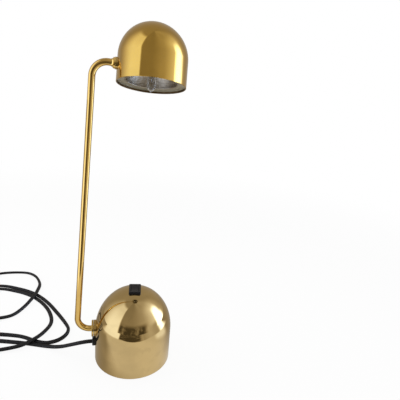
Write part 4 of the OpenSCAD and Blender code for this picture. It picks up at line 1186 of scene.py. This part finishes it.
    def build(self) -> None:
        """Makes the whole studio."""
        bpy.context.scene.view_settings.view_transform = "Standard"
        self.camera()
        self.floor()
        self.world()
        for name, at, aim, size, level in (
            ("strip_right", self.around(88, 470, 640), (0, 0, 360), (190, 560), 2.6),
            ("wide_left", self.around(-88, 620, 420), (0, 0, 140), (620, 560), 1.7),
            ("top", (120, 160, 1500), (0, 0, 200), (900, 900), 1.2),
        ):
            self.lamp(name, at, aim, size, level)


# ---------------------------------------------------------------- power cord


@dataclass
class Cord:
    """Flat power cord, its gland and its plug."""

    width: float = 5.8
    thickness: float = 4.5
    exit_x: float = -55.7
    exit_z: float = 26.0
    farthest_x: float = -331.28
    farthest_y: float = 254.22
    length: float = 1.93
    plug_tail: float = 12.0
    tail_widths: Point = (7.0, 11.5)
    tail_heights: Point = (5.4, 9.0)
    tail_rib: float = 0.35
    plug_length: float = 34.0
    plug_width: float = 35.0
    plug_thickness: float = 13.7
    groove: float = 0.05
    groove_width: float = 0.8
    grip_side: float = 6.65
    grip_start: float = 15.0
    route: list[Point] = field(default_factory=lambda: [
        (-55.7, 0, 26, 0), (-63, 0, 25.8, 0), (-71, 1, 24.2, 0), (-79, 3.8, 20.8, 0),
        (-87.5, 8.3, 16, 0), (-97, 14, 10.4, 0), (-108, 20.7, 5.6, 0), (-122, 28.2, 2.6, 0),
        (-140, 35.3, 2, 0), (-162, 42, 2, 10), (-207, 52, 2.6, 45), (-264, 57, 3, 90),
        (-308, 84, 3, 90), (-314, 145, 3, 90), (-278, 194, 2.7, 60), (-222, 204, 2, 15),
        (-184, 190, 2, 0), (-155, 170, 2, 0), (-132, 142, 2, 0), (-114, 111, 2, 0),
        (-102, 88, 2.3, 20), (-94.5, 71.5, 2.6, 40), (-92.1, 62.2, 2.9, 70),
        (-93.2, 52.8, 2.9, 70), (-97.8, 44.4, 2.9, 60), (-105.3, 38.4, 2.6, 40),
        (-114.4, 35.6, 2.3, 20), (-122.6, 36.1, 2, 0), (-135.5, 41.2, 2, 0), (-161, 56, 2, 0),
        (-207, 66, 2.6, 45), (-258, 69, 3, 90), (-294, 88, 3, 90), (-302, 140, 3, 90),
        (-270, 183, 2.7, 60), (-221, 193.5, 2, 15), (-187, 182, 2, 0), (-160.5, 164.5, 2, 0),
        (-139.5, 140, 2, 0), (-125, 112, 2, 0), (-119, 82, 3, 0), (-127, 54, 6, 0),
        (-141, 37, 6.6, 0), (-160, 28, 5, 0), (-207, 27, 2.1, 0), (-268, 34, 2.7, 60),
        (-320, 74, 3, 90), (-328, 143, 3, 90), (-292, 214, 3, 80), (-236, 247, 2.2, 20),
        (-190, 250, 2.2, 30), (-166, 235, 2.8, 60), (-152.5, 204, 3.6, 60), (-152, 174, 6.3, 15),
        (-157, 150, 6.1, 0), (-167, 128, 3.3, 0), (-179.5, 110.5, 2.2, 0), (-196, 101.8, 4, 0),
        (-207.5, 100.2, 6.2, 0), (-216, 100, 6.9, 0),
    ])

    def sheath(self) -> tuple[Piece, np.ndarray]:
        """Makes the cord with a shallow groove between its two cores.

        Returns:
            The cord and the points of its middle line, in metres.
        """
        line = smooth_route(self.route, 10)
        shape = [
            (x, y * (1 - self.groove * math.exp(-((x / self.groove_width) ** 2))))
            for x, y in oval(self.width, self.thickness, 28, 2.3)
        ]
        rings = swept_rings(line, shape, (0.0, 0.0, 1.0))
        low, high = (self.farthest_x, -self.farthest_y, 0.0), (0.0, self.farthest_y, 100.0)
        rings = [np.clip(ring, low, high) for ring in rings]
        return make("power_lead", *bridge(rings), crease=60.0), line[:, :3] * MM

    def at_plug(self) -> Matrix:
        """The plug's own frame, at the cord's far end, its Z pointing away from the cord."""
        return shifted(*self.route[-1][:3]) @ turned(0, -90, 0)

    def plug(self) -> Piece:
        """Makes the flat plug with a ribbed tail and a soft body.

        Returns:
            The plug.
        """
        tail, end = self.plug_tail, self.plug_tail + self.plug_length
        full, thick = self.plug_width, self.plug_thickness
        rings = []
        for k in range(25):
            grow = k / 24
            rib = self.tail_rib * (0.5 + 0.5 * math.cos(math.pi / 2 * k)) if 0 < k < 22 else 0.0
            w, t = (a + (b - a) * grow - rib for a, b in (self.tail_widths, self.tail_heights))
            rings.append([(y, x, tail * grow) for x, y in oval(w, t, 48, 2.2)])
        stations = [
            (tail + 0.4, 12.6, 9.6), (tail + 1.5, 13.6, 10.2), (tail + 4, 20.0, 12.0),
            (tail + 7, 27.6, 13.2), (tail + 9.5, 32.8, 13.6), (tail + 11.5, 34.6, thick),
            (tail + 14, full, thick), (end - 6, 34.8, thick), (end - 1.2, 34.6, 13.6),
            (end - 0.4, 34.2, 13.2), (end, 33.2, 12.2),
        ]
        rings += [[(y, x, z) for x, y in oval(w, t, 48, 3.4)] for z, w, t in stations]
        return make("plug_moulding", *bridge(rings), self.at_plug(), crease=40.0)

    def grips(self) -> Piece:
        """Makes the plug's finger ribs with Geometry Nodes, one row on each flat side.

        Returns:
            The ribs.
        """
        first = self.plug_tail + self.grip_start
        sides = [
            self.at_plug() @ shifted(s * self.grip_side, 0, first) @ turned(0, 90 * s, 0)
            for s in (-1, 1)
        ]
        grips = RowOfRibs().build("plug_grips", Finishes.plug_black, sides)
        for point in grips.data.vertices:
            point.co.z = max(point.co.z, 0.0)
        return grips

    def build(self, model: Model) -> None:
        """Makes and dresses the cord, gland and plug.

        Args:
            model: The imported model.
        """
        cord, line = self.sheath()
        model.mount(cord, Finishes.cord_black, Body.BASE, "power_cord")
        plug = model.mount(self.plug(), Finishes.plug_black, Body.BASE, "plug_body")
        grips = model.mount(self.grips(), Finishes.plug_black, Body.BASE)
        model.dress(Finishes.pin_nickel, "plug_pins")
        model.dress(Finishes.gland_black, "cord_gland")


# ---------------------------------------------------------------- what repeats


class Grower(Tree):
    """A Geometry Nodes tree that works on a mesh, with a named input for each size."""

    KINDS = {int: "NodeSocketInt", float: "NodeSocketFloat", tuple: "NodeSocketVector"}

    def __init__(self, name: str, sizes: dict[str, Any]) -> None:
        """Makes the tree with its inputs.

        Args:
            name: The tree's name.
            sizes: Values of its inputs, by name.
        """
        super().__init__(bpy.data.node_groups.new(name, "GeometryNodeTree"))
        face = self.tree.interface
        for side in ("INPUT", "OUTPUT"):
            face.new_socket("Geometry", in_out=side, socket_type="NodeSocketGeometry")
        for label, value in sizes.items():
            face.new_socket(label, in_out="INPUT", socket_type=self.KINDS[type(value)])
        self.inputs = self.add("NodeGroupInput").socket.node.outputs
        self.sizes = sizes

    def given(self, name: str) -> Wire:
        """The value of a named input."""
        return Wire(self.tree, self.inputs[name])

    def end(self, geometry: Wire, finish: Finish) -> None:
        """Ends the tree with real geometry that has its finish.

        Args:
            geometry: The geometry.
            finish: The finish.
        """
        real = self.add("GeometryNodeRealizeInstances", sockets={0: geometry})
        sockets = {"Geometry": real, "Material": finish.material()}
        coated = self.add("GeometryNodeSetMaterial", sockets=sockets)
        self.add("NodeGroupOutput", sockets={0: coated})

    def drive(self, piece: Piece) -> None:
        """Puts the tree on a piece as a modifier and sets its inputs.

        Args:
            piece: The piece that it works on.
        """
        work = piece.modifiers.new(self.tree.name, "NODES")
        work.node_group = self.tree
        for item in self.tree.interface.items_tree:
            if item.in_out == "INPUT" and item.name in self.sizes:
                work[item.identifier] = self.sizes[item.name]

    def grow(self, name: str, seeds: Sequence[Point], places: Sequence[Matrix]) -> Piece:
        """Runs the tree on loose points and makes a piece of its result.

        Args:
            name: The piece's name.
            seeds: The loose points.
            places: Where copies of the result stand, in millimetres.

        Returns:
            The piece.
        """
        mesh = bpy.data.meshes.new(name + "_seeds")
        mesh.from_pydata(seeds, [], [])
        holder = bpy.data.objects.new(name + "_seeds", mesh)
        bpy.context.scene.collection.objects.link(holder)
        self.drive(holder)
        grown = plain_mesh(holder)
        bpy.data.objects.remove(holder)
        points: list[Point] = []
        faces: list = []
        for place in places:
            start = len(points)
            points += [place @ v.co for v in grown.vertices]
            faces += [tuple(start + i for i in p.vertices) for p in grown.polygons]
        return make(name, points, faces)


@dataclass
class RowOfRibs:
    """A row of equal soft ribs, made with Geometry Nodes."""

    count: int = 5
    pitch: float = 2.6
    length: float = 15.0
    width: float = 1.1
    height: float = 0.5

    def build(self, name: str, finish: Finish, places: Sequence[Matrix]) -> Piece:
        """Makes the ribs at one or more places, as one piece.

        Args:
            name: The piece's name.
            finish: Its finish.
            places: Where each row starts, in millimetres: X along the row, Z out.

        Returns:
            The piece.
        """
        tree = Grower("row_of_ribs", {k.title(): v for k, v in asdict(self).items()})
        step = tree.vector(X=tree.given("Pitch"))
        row = tree.add(
            "GeometryNodeMeshLine", sockets={"Count": tree.given("Count"), "Offset": step}
        )
        rib = tree.add(
            "GeometryNodeMeshUVSphere", sockets={"Segments": 20, "Rings": 12, "Radius": 0.5}
        )
        size = tree.vector(
            X=tree.given("Width"), Y=tree.given("Length"), Z=tree.given("Height") * 2.0
        )
        rib = tree.add("GeometryNodeTransform", sockets={"Geometry": rib, "Scale": size})
        sockets = {"Points": row, "Instance": rib}
        tree.end(tree.add("GeometryNodeInstanceOnPoints", sockets=sockets), finish)
        return tree.grow(name, (), places)


@dataclass
class SunkScrews:
    """Countersunk screws with slotted heads, made with Geometry Nodes."""

    radius: float
    length: float
    slot: float = 0.7
    shank: float = 0.97
    sides: int = 36
    seed: int = 7

    def build(self, name: str, finish: Finish, places: Sequence[Point]) -> Piece:
        """Makes the screws as one piece, heads down and each turned at random.

        Args:
            name: The piece's name.
            finish: Its finish.
            places: The middles of the heads' faces, in millimetres.

        Returns:
            The piece.
        """
        tree = Grower("sunk_screws", {
            "Shank": self.length - self.radius * self.shank, "Shank Radius": self.radius,
            "Head Radius": 2 * self.radius, "Slot": 2 * self.slot,
        })
        radius, wide, long = (tree.given(n) for n in ("Shank Radius", "Head Radius", "Shank"))
        head = tree.add("GeometryNodeMeshCone", sockets={
            "Vertices": self.sides, "Radius Top": radius, "Radius Bottom": wide, "Depth": radius,
        })
        thin = radius * self.shank
        shank = tree.add("GeometryNodeMeshCylinder", sockets={
            "Vertices": self.sides, "Radius": thin, "Depth": long,
        })
        shank = tree.add("GeometryNodeTransform", sockets={
            "Geometry": shank, "Translation": tree.vector(Z=long * 0.5 + thin),
        })
        whole = tree.add(
            "GeometryNodeMeshBoolean", {"operation": "UNION"}, {"Mesh 2": [head, shank]}
        )
        size = tree.vector(X=wide * 3.0, Y=tree.given("Slot"), Z=tree.given("Slot"))
        blade = tree.add("GeometryNodeMeshCube", sockets={"Size": size})
        screw = tree.add(
            "GeometryNodeMeshBoolean", {"operation": "DIFFERENCE"},
            {"Mesh 1": whole, "Mesh 2": blade},
        )
        turn = tree.add(
            "FunctionNodeRandomValue", {"data_type": "FLOAT_VECTOR"},
            {"Min": (0.0, 0.0, 0.0), "Max": (0.0, 0.0, math.pi), "Seed": self.seed},
        )
        sockets = {"Points": tree.given("Geometry"), "Instance": screw, "Rotation": turn}
        tree.end(tree.add("GeometryNodeInstanceOnPoints", sockets=sockets), finish)
        return tree.grow(name, places, [Matrix.Identity(4)])


# ---------------------------------------------------------------- base


@dataclass
class Base:
    """Domed base shell with what it holds."""

    radius: float = 51.8
    side_height: float = 46.8
    rise: float = 5.4
    wall: float = 1.2
    rim: float = 1.0
    hub_height: float = 47.0
    gland_height: float = 26.0
    dome_top: float = 104.0
    switch_turn: float = -6.0
    lip: float = 0.35
    hub_hole: float = 5.05
    gland_hole: float = 4.65
    side_cut: Point = (26.0, 60.0)
    switch_hole: Point = (13.4, 19.6)
    switch_cut: Point = (-24.0, 3.0)
    screw_circle: float = 46.3
    clamp_screws: Point = (-34.59, 42.59)
    screw_height: float = 2.0
    plate_screw: Point = (1.5, 6.0)
    clamp_screw: Point = (2.0, 7.2)

    def outline(self, inset: float, steps: int) -> list[Point]:
        """Half outline of the shell from its rim to its top.

        Args:
            inset: Distance inside the outer face.
            steps: Number of spans in each of the dome's two arcs.

        Returns:
            Points of radius and height.
        """
        shift = self.rise / (2 - math.sqrt(2))
        large = self.radius - inset + shift
        small = large - shift * math.sqrt(2)
        points = [(self.radius - inset, z) for z in (self.rim, self.side_height)]
        points += arc((-shift, self.side_height), large, 0, 45, steps)[1:]
        points += arc((0, self.side_height + shift), small, 45, 90, steps)[1:]
        points[-1] = (0.0, points[-1][1])
        return points

    def shell(self) -> Piece:
        """Makes the spun shell with its cut-outs for switch, pivot and gland.

        Returns:
            The shell.
        """
        outer, inner = self.outline(0.0, 26), self.outline(self.wall, 26)
        outer[0] = (self.radius, self.rim + self.lip)
        outer.insert(0, (self.radius - self.lip, self.rim))
        loop = outer + inner[::-1]
        shell = lathe("base_dome", loop, Matrix.Identity(4), segments=288, crease=40.0)
        hub, gland = (
            shifted(0, 0, height) @ turned(0, -90, 0)
            for height in (self.hub_height, self.gland_height)
        )
        top = shifted(0, 0, self.dome_top) @ turned(0, 0, self.switch_turn)
        carve(shell, [
            rod("cut_hub", self.hub_hole, *self.side_cut, hub),
            rod("cut_gland", self.gland_hole, *self.side_cut, gland),
            block("cut_switch", self.switch_hole, *self.switch_cut, top),
        ], crease=40.0)
        return shell

    def screws(self, model: Model) -> None:
        """Makes the screws of the plate and of the transformer's clamp.

        Args:
            model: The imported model.
        """
        z = self.screw_height
        ring = [
            (self.screw_circle * math.cos(a), self.screw_circle * math.sin(a), z)
            for a in map(math.radians, (90, 210, 330))
        ]
        row = [(x, 0.0, z) for x in self.clamp_screws]
        steel = Finishes.steel
        for size, places, node in (
            (self.plate_screw, ring, "plate_screws"), (self.clamp_screw, row, "clamp_screws"),
        ):
            screws = SunkScrews(*size).build(node + "_slotted", steel, places)
            model.mount(screws, steel, Body.BASE, node)

    def build(self, model: Model) -> None:
        """Makes and dresses the base.

        Args:
            model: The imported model.
        """
        model.mount(self.shell(), Finishes.base_brass, Body.BASE, "base_shell")
        model.dress(Finishes.plate_steel, "base_plate")
        model.dress(Finishes.felt, "foot_pad")
        model.dress(Finishes.hidden_brass, "shell_brackets", "base_bush_nut", "terminal_screws")
        model.dress(Finishes.steel, "base_bush_washer", "clamp_nuts", "transformer_clamp")
        self.screws(model)
        model.dress(Finishes.pivot_brass, "base_bush")
        model.dress(Finishes.lamination, "transformer_core")
        model.dress(Finishes.bobbin_white, "transformer_bobbin")
        model.dress(Finishes.copper, "primary_winding", "secondary_winding")
        model.dress(Finishes.ceramic, "terminal_block", "thermal_fuse")
        model.dress(Finishes.cord_black, "inner_cord")
        model.dress(Finishes.lead_blue, "mains_leads")
        model.dress(Finishes.lead_white, "secondary_cable")


# ---------------------------------------------------------------- switch


@dataclass
class Switch:
    """Rocker switch in the top of the base."""

    dome_top: float = 104.0
    turn: float = -6.0
    pivot: float = -1.5
    tip: float = 10.0
    width: float = 10.6
    half_length: float = 8.4
    slope: float = 11.0
    face: float = 2.2
    low: float = -3.6
    dish: float = 0.22
    lip: float = 0.25
    pin_radius: float = 1.0
    pin_span: float = 12.6

    def place(self) -> Matrix:
        """Where the rocker turns, tipped as it stands."""
        top = shifted(0, 0, self.dome_top) @ turned(0, 0, self.turn)
        return top @ shifted(0, 0, self.pivot) @ turned(self.tip, 0, 0)

    def rocker(self) -> Piece:
        """Makes the rocker with softened edges and two dished halves.

        Returns:
            The rocker.
        """
        half, low = self.half_length, self.low
        high = self.face + half * math.tan(math.radians(self.slope)) - self.lip
        ends = [math.degrees(math.asin(z / half)) for z in (low, high)]
        right = arc((0, 0), half, *ends, 8)
        x0, z0 = right[-1]
        outline = list(right)
        for k in range(1, 16):
            far = abs(1 - k / 8)
            dish = self.dish * math.sin(math.pi * far)
            outline.append((x0 * (1 - k / 8), self.face + far * (z0 - self.face) - dish))
        outline += [(-y, z) for y, z in reversed(right)]
        side = [(1, 0.45), (0.985, 0.14), (0.95, 0.0), (0.6, 0.0)]
        rings = []
        for across, inset in [(-a, b) for a, b in side] + side[::-1]:
            x, keep = across * self.width / 2, 1 - inset / half
            rings.append([(x, y * keep, max(z * keep, low)) for y, z in outline])
        piece = make("rocker_cap", *bridge(rings), self.place(), crease=35.0)
        span, pin = self.pin_span / 2, self.pin_radius
        pins = rounded([(0.0, -span, 0), (pin, -span, 0.2), (pin, span, 0.2), (0.0, span, 0)])
        boss = rounded([
            (1.15, low + 0.4, 0), (1.15, low - 2.0, 0.1), (2.2, low - 2.0, 0.3),
            (2.2, low + 0.4, 0),
        ])
        return merged(piece, [
            lathe("rocker_pins", pins, self.place() @ turned(0, 90, 0), segments=48),
            lathe("rocker_boss", boss, self.place(), segments=48),
        ])

    def spring(self) -> Piece:
        """Makes the plunger's coil spring.

        Returns:
            The spring.
        """
        return coil(
            "plunger_coil", radius=0.86, wire=0.2, turns=5.5, steps=20, ends=(-3.0, -1.5),
            place=self.place(),
        )

    def build(self, model: Model) -> None:
        """Makes and dresses the switch.

        Args:
            model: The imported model.
        """
        model.dress(Finishes.switch_black, "switch_housing")
        model.mount(self.rocker(), Finishes.rocker_black, Body.ROCKER, "switch_rocker")
        model.mount(self.spring(), Finishes.steel, Body.ROCKER, "plunger_spring")
        model.dress(Finishes.bobbin_white, "switch_plunger")
        model.dress(Finishes.contact_metal, "switch_terminals", "contact_blade")


# ---------------------------------------------------------------- arm


@dataclass
class Arm:
    """Bent tube with a pivot at each end."""

    tube: float = 3.9
    wall: float = 1.0
    bend: float = 17.0
    lean: float = 3.2
    corner_x: float = 75.5
    length: float = 347.0
    hub_height: float = 47.0
    hub_seat: float = 54.7
    ferrule_face: float = 41.9
    ferrule_seat: float = 42.7
    tube_end: float = 42.8
    play: float = 0.05
    groove: Point = (1.6, 2.4)
    groove_depth: float = 0.4
    neck: float = 2.4
    collar: Point = (9.7672, 0.0, 389.7747)

    def at_hub(self) -> Matrix:
        """The lower pivot, its Z pointing out of the base."""
        return shifted(0, 0, self.hub_height) @ turned(0, -90, 0)

    def at_collar(self) -> Matrix:
        """The upper pivot, its Z pointing out of the shade."""
        return shifted(*self.collar) @ turned(0, self.lean, 0) @ turned(0, -90, 0)

    def line(self, low: float, high: float) -> np.ndarray:
        """The tube's middle line.

        Args:
            low: Distance of its lower end from the base's axis.
            high: Distance of its upper end from the shade's axis.

        Returns:
            Its points.
        """
        lean = math.radians(self.lean)
        along = np.array((math.sin(lean), 0.0, math.cos(lean)))
        over = np.array((math.cos(lean), 0.0, -math.sin(lean)))
        corner = np.array((-self.corner_x, 0.0, self.hub_height))
        turn = math.pi / 2 + lean
        start = corner + np.array((self.bend * math.tan(turn / 2), 0.0, 0.0))
        points = [np.array((-low, 0.0, self.hub_height)), start]
        middle = start + np.array((0.0, 0.0, self.bend))
        for k in range(1, 33):
            a = -math.pi / 2 - turn * k / 32
            points.append(middle + self.bend * np.array((math.cos(a), 0.0, math.sin(a))))
        middle = corner + (self.length - self.bend) * along + self.bend * over
        for k in range(33):
            a = math.pi / 2 * k / 32
            points.append(middle - self.bend * (math.cos(a) * over - math.sin(a) * along))
        points.append(np.array(self.collar) - high * over)
        return np.array(points)

    def pipe(self) -> Piece:
        """Makes the bent tube with its bore.

        Returns:
            The tube.
        """
        line = self.line(self.hub_seat, self.tube_end)
        outer, inner = (
            swept_rings(line, oval(2 * r, 2 * r, 64), (0, 1, 0))
            for r in (self.tube, self.tube - self.wall)
        )
        rings = [*outer, *inner[::-1], outer[0]]
        points, faces = bridge([r.tolist() for r in rings], caps=False)
        return make("arm_pipe", points, faces, crease=50.0)

    def spigot(
        self, bore: float, radius: float, ends: Point, edge: float
    ) -> list[tuple[float, float, float]]:
        """Outline of a hollow spigot with the groove of its retaining ring.

        Args:
            bore: Radius of its hollow.
            radius: Its own radius.
            ends: Distances of its two ends from the pivot's other side.
            edge: Rounding of its free end.

        Returns:
            The corners, each with its radius.
        """
        start, deep = ends[0], radius - self.groove_depth
        low, high = (start + far for far in self.groove)
        return [
            (bore, start, 0.2), (radius, start, edge), (radius, low, 0), (deep, low, 0),
            (deep, high, 0), (radius, high, 0), (radius, ends[1], 0),
        ]

    def hub(self) -> Piece:
        """Makes the lower pivot's disc and hollow spigot.

        Returns:
            The hub.
        """
        tube, seat = self.tube + self.play, self.hub_seat
        outline = self.spigot(2.2, 3.46, (39.0, 54.1), 0.3) + [
            (11.0, 54.1, 0.25), (11.0, 56.5, 0.6), (tube + 0.6, 56.5, 0.3), (tube, 56.2, 0),
            (tube, seat, 0), (2.2, seat, 0),
        ]
        return lathe("arm_disc", rounded(outline), self.at_hub(), segments=144)

    def ferrule(self) -> Piece:
        """Makes the upper pivot's ferrule, with its necked collar, and hollow spigot.

        Returns:
            The ferrule.
        """
        face, neck = self.ferrule_face, self.neck
        tube, seat, rim = self.tube + self.play, self.ferrule_seat, face + 2.0
        outline = rounded(self.spigot(1.7, 2.71, (29.2, face), 0.25) + [
            (6.75, face, 0.25), (6.75, rim, 0.35),
        ])
        outline += arc((self.tube + 0.4 + neck, rim + neck), neck, 255, 180, 10)
        outline += [(tube, rim + neck), (tube, seat), (1.7, seat)]
        return lathe("arm_collar", outline, self.at_collar())

    def build(self, model: Model) -> None:
        """Makes and dresses the arm.

        Args:
            model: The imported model.
        """
        model.mount(self.pipe(), Finishes.arm_brass, Body.ARM, "arm_tube")
        model.mount(self.hub(), Finishes.hub_brass, Body.ARM, "arm_hub")
        model.mount(self.ferrule(), Finishes.ferrule_brass, Body.ARM, "arm_ferrule")
        model.dress(Finishes.steel, "hub_spring_washer", "collar_spring_washer")
        model.dress(Finishes.steel_dark, "hub_retaining_ring", "collar_retaining_ring")
        model.dress(Finishes.lead_white, "arm_cable")


# ---------------------------------------------------------------- shade


@dataclass
class Shade:
    """Domed shade with its reflector, lampholder and bulb."""

    radius: float = 40.0
    wall: float = 1.0
    rim: float = -19.3
    dome: float = 10.3
    tilt: float = 14.0
    lean: float = 3.2
    collar: Point = (9.7672, 0.0, 389.7747)
    flange_top: float = -14.4
    sheet: float = 0.8
    mouth: float = 29.0
    bowl_depth: float = 23.7
    bowl_hole: float = 11.2
    bead: float = 1.6
    skirt: float = 1.7
    bulb: float = 5.25
    bulb_wall: float = 1.0
    tip: float = -27.3
    tip_length: float = 1.2
    bulb_length: float = 33.0
    pinch_height: float = 7.0
    pinch: Point = (4.7, 1.4)
    pin_pitch: float = 6.35
    bush_hole: float = 4.05
    bush_cut: Point = (20.0, 50.0)
    dimple_pitch: float = 2.6
    dimple_depth: float = 0.26

    def place(self) -> Matrix:
        """The shade's own frame, at the upper pivot."""
        return shifted(*self.collar) @ turned(0, self.lean, 0) @ turned(-self.tilt, 0, 0)

    def shell(self) -> Piece:
        """Makes the spun shade with a hole for its bush.

        Returns:
            The shell.
        """
        outer = [(self.radius - 0.3, self.rim), (self.radius, self.rim + 0.3)]
        outer += arc((0, self.dome), self.radius, 0, 90, 40)
        within = self.radius - self.wall
        inner = arc((0, self.dome), within, 90, 0, 40)
        inner += [(within, self.rim + 0.3), (within + 0.3, self.rim)]
        outer[-1], inner[0] = (0.0, outer[-1][1]), (0.0, inner[0][1])
        shell = lathe("shade_dome", outer + inner, self.place(), segments=256, crease=40.0)
        side = self.place() @ turned(0, -90, 0)
        carve(shell, [rod("cut_bush", self.bush_hole, *self.bush_cut, side)], crease=40.0)
        shell.data.materials.clear()
        for finish in (Finishes.shade_brass, Finishes.shade_inside):
            shell.data.materials.append(finish.material())
        back = (Matrix.Scale(MM, 4) @ self.place()).inverted()
        for face in shell.data.polygons:
            at = back @ face.center
            away = math.hypot(at.x, at.y, max(at.z - self.dome, 0.0))
            face.material_index = int(away < within + 0.2)
        return shell

    def bowl_circle(self) -> tuple[float, float]:
        """Height of the bowl's centre and its radius.

        Returns:
            The height and the radius.
        """
        top = self.flange_top + self.bowl_depth
        height = (self.bowl_hole**2 + top**2 - self.mouth**2 - self.flange_top**2) / (
            2 * self.bowl_depth
        )
        return height, math.hypot(self.mouth, self.flange_top - height)

    def reflector_blank(self) -> Piece:
        """Makes the smooth reflector: flange, raised border and bowl.

        Returns:
            The smooth reflector.
        """
        centre, radius = self.bowl_circle()
        low = self.flange_top - self.sheet
        edge = self.radius - self.wall - 0.2
        start = math.degrees(math.asin((self.flange_top - centre) / radius))
        end = math.degrees(math.acos(self.bowl_hole / radius))
        inner = arc((0, centre), radius, start + 1.2, end, 70)
        outer = arc((0, centre), radius + self.sheet, end, start + 3.5, 70)
        bead = arc((self.mouth + self.bead / 2, low), self.bead / 2, 182, 358, 12)
        outline = [
            *inner[::-1], (self.mouth, low + 0.2), *bead, (self.mouth + self.bead, low),
            (edge - 0.9, low), (edge - 0.35, low - 0.3), (edge - 0.25, low - self.skirt),
            (edge, low - self.skirt), (edge, self.flange_top - 0.3),
            (edge - 0.3, self.flange_top), (self.mouth + self.bead, self.flange_top),
            *outer[::-1],
        ]
        return lathe("reflector_bowl", outline, self.place(), segments=288, crease=50.0)

    def hammered(self, piece: Piece) -> None:
        """Presses dimples in the reflector's bowl with Geometry Nodes.

        Args:
            piece: The smooth reflector.
        """
        centre, radius = self.bowl_circle()
        middle = self.place() @ Vector((0, 0, centre))
        tree = Grower("hammering", {
            "Pitch": self.dimple_pitch * MM, "Depth": self.dimple_depth * MM,
            "Reach": (radius + 0.3) * MM, "Middle": tuple(middle * MM),
        })
        where = tree.add("GeometryNodeInputPosition")
        cells = tree.add("ShaderNodeTexVoronoi", {"feature": "F1"}, {
            "Vector": where, "Scale": 1.0 / tree.given("Pitch"), "Randomness": 0.55,
        }, "Distance")
        away = tree.add(
            "ShaderNodeVectorMath", {"operation": "DISTANCE"},
            {0: where, 1: tree.given("Middle")}, "Value",
        )
        height = tree.given("Depth") * (cells * cells - 0.25) * away.below(tree.given("Reach"))
        push = tree.add(
            "ShaderNodeVectorMath", {"operation": "SCALE"},
            {0: tree.add("GeometryNodeInputNormal"), "Scale": height},
        )
        sockets = {"Geometry": tree.given("Geometry"), "Offset": push}
        tree.end(tree.add("GeometryNodeSetPosition", sockets=sockets), Finishes.reflector)
        tree.drive(piece)
        settle(piece, crease=60.0)
        piece.data.materials.append(Finishes.flange.material())
        back = (Matrix.Scale(MM, 4) @ self.place()).inverted()
        for polygon in piece.data.polygons:
            at = back @ polygon.center
            polygon.material_index = int(math.hypot(at.x, at.y) > self.mouth + self.bead)

    def capsule(self) -> Piece:
        """Makes the bulb's glass: a tube with a pulled tip and a flat pinch.

        Returns:
            The glass.
        """
        r, low = self.bulb, self.tip + self.tip_length + self.bulb
        wide, thin = self.pinch
        pinch_top = self.tip + self.bulb_length
        pinch_low = pinch_top - self.pinch_height
        waist = pinch_low - 3.4
        stations: list[tuple[float, ...]] = [
            (self.tip + z, w, w)
            for z, w in ((0.0, 0.25), (0.1, 0.4), (0.3, 0.5), (0.7, 0.55), (1.1, 0.62))
        ]
        for k in range(17):
            fall = 0.93 * (1 - k / 16)
            w = r * (1 - fall**1.55) ** (1 / 1.4)
            stations.append((low - r * fall, w, w))
        stations += [(low + (waist - low) * k / 12, r, r) for k in range(1, 13)]
        for k in range(1, 11):
            s = k / 10
            ease = s * s * (3 - 2 * s)
            w, t = r + (wide - r) * ease, r + (thin - r) * ease
            stations.append((waist + 4.2 * s, w, t, 2 + 1.6 * ease))
        for z in (pinch_low + 2, pinch_top - 0.8, pinch_top - 0.25):
            stations.append((z, wide, thin, 3.6))
        stations.append((pinch_top, wide - 0.25, thin - 0.25, 3.6))
        rings = [
            [(y, x, z) for x, y in oval(2 * w, 2 * t, 72, *power)] for z, w, t, *power in stations
        ]
        glass = make("bulb_envelope", *bridge(rings), self.place(), crease=60.0)
        inner_r = r - self.bulb_wall
        top = pinch_low - 0.6 * r
        outline = [(0.0, low - inner_r), *arc((0, low), inner_r, -89, 0, 14)]
        outline += [*arc((0, top), inner_r, 0, 89, 14), (0.0, top + inner_r)]
        hollow = lathe("bulb_hollow", outline, self.place(), segments=72, crease=60.0)
        hollow.data.flip_normals()
        return merged(glass, [hollow])

    def filament(self) -> Piece:
        """Makes the bulb's coiled wire between its two supports.

        Returns:
            The filament.
        """
        half = self.pin_pitch / 2 - 0.35
        place = self.place() @ shifted(0, 0, self.tip + 14.0) @ turned(90, 0, 0)
        return coil(
            "bulb_coil", radius=0.58, wire=0.22, turns=11, steps=16, ends=(half, -half),
            place=place,
        )

    def build(self, model: Model) -> None:
        """Makes and dresses the shade.

        Args:
            model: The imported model.
        """
        model.mount(self.shell(), Finishes.shade_brass, Body.SHADE, "shade_shell")
        bowl = self.reflector_blank()
        self.hammered(bowl)
        model.mount(bowl, Finishes.reflector, Body.SHADE, "reflector")
        model.mount(self.capsule(), Finishes.glass, Body.SHADE, "bulb_glass")
        model.mount(self.filament(), Finishes.tungsten, Body.SHADE, "bulb_filament")
        model.dress(Finishes.pin_nickel, "bulb_pins")
        model.dress(Finishes.collar_brass, "shade_bush")
        model.dress(Finishes.hidden_brass, "shade_bush_nut", "reflector_clips")
        model.dress(Finishes.steel, "lampholder_bracket", "lampholder_screws")
        model.dress(Finishes.ceramic, "lampholder")
        model.dress(Finishes.contact_metal, "lampholder_contacts")
        model.dress(Finishes.lead_white, "lamp_leads")


def main() -> None:
    """Builds the lamp's looks in order, keeping the size of the imported model."""
    logging.basicConfig(level=logging.INFO, format="%(name)s: %(message)s")
    model = Model()
    Studio().build()
    Cord().build(model)
    Base().build(model)
    Switch().build(model)
    Arm().build(model)
    Shade().build(model)


if __name__ == "__main__":
    main()
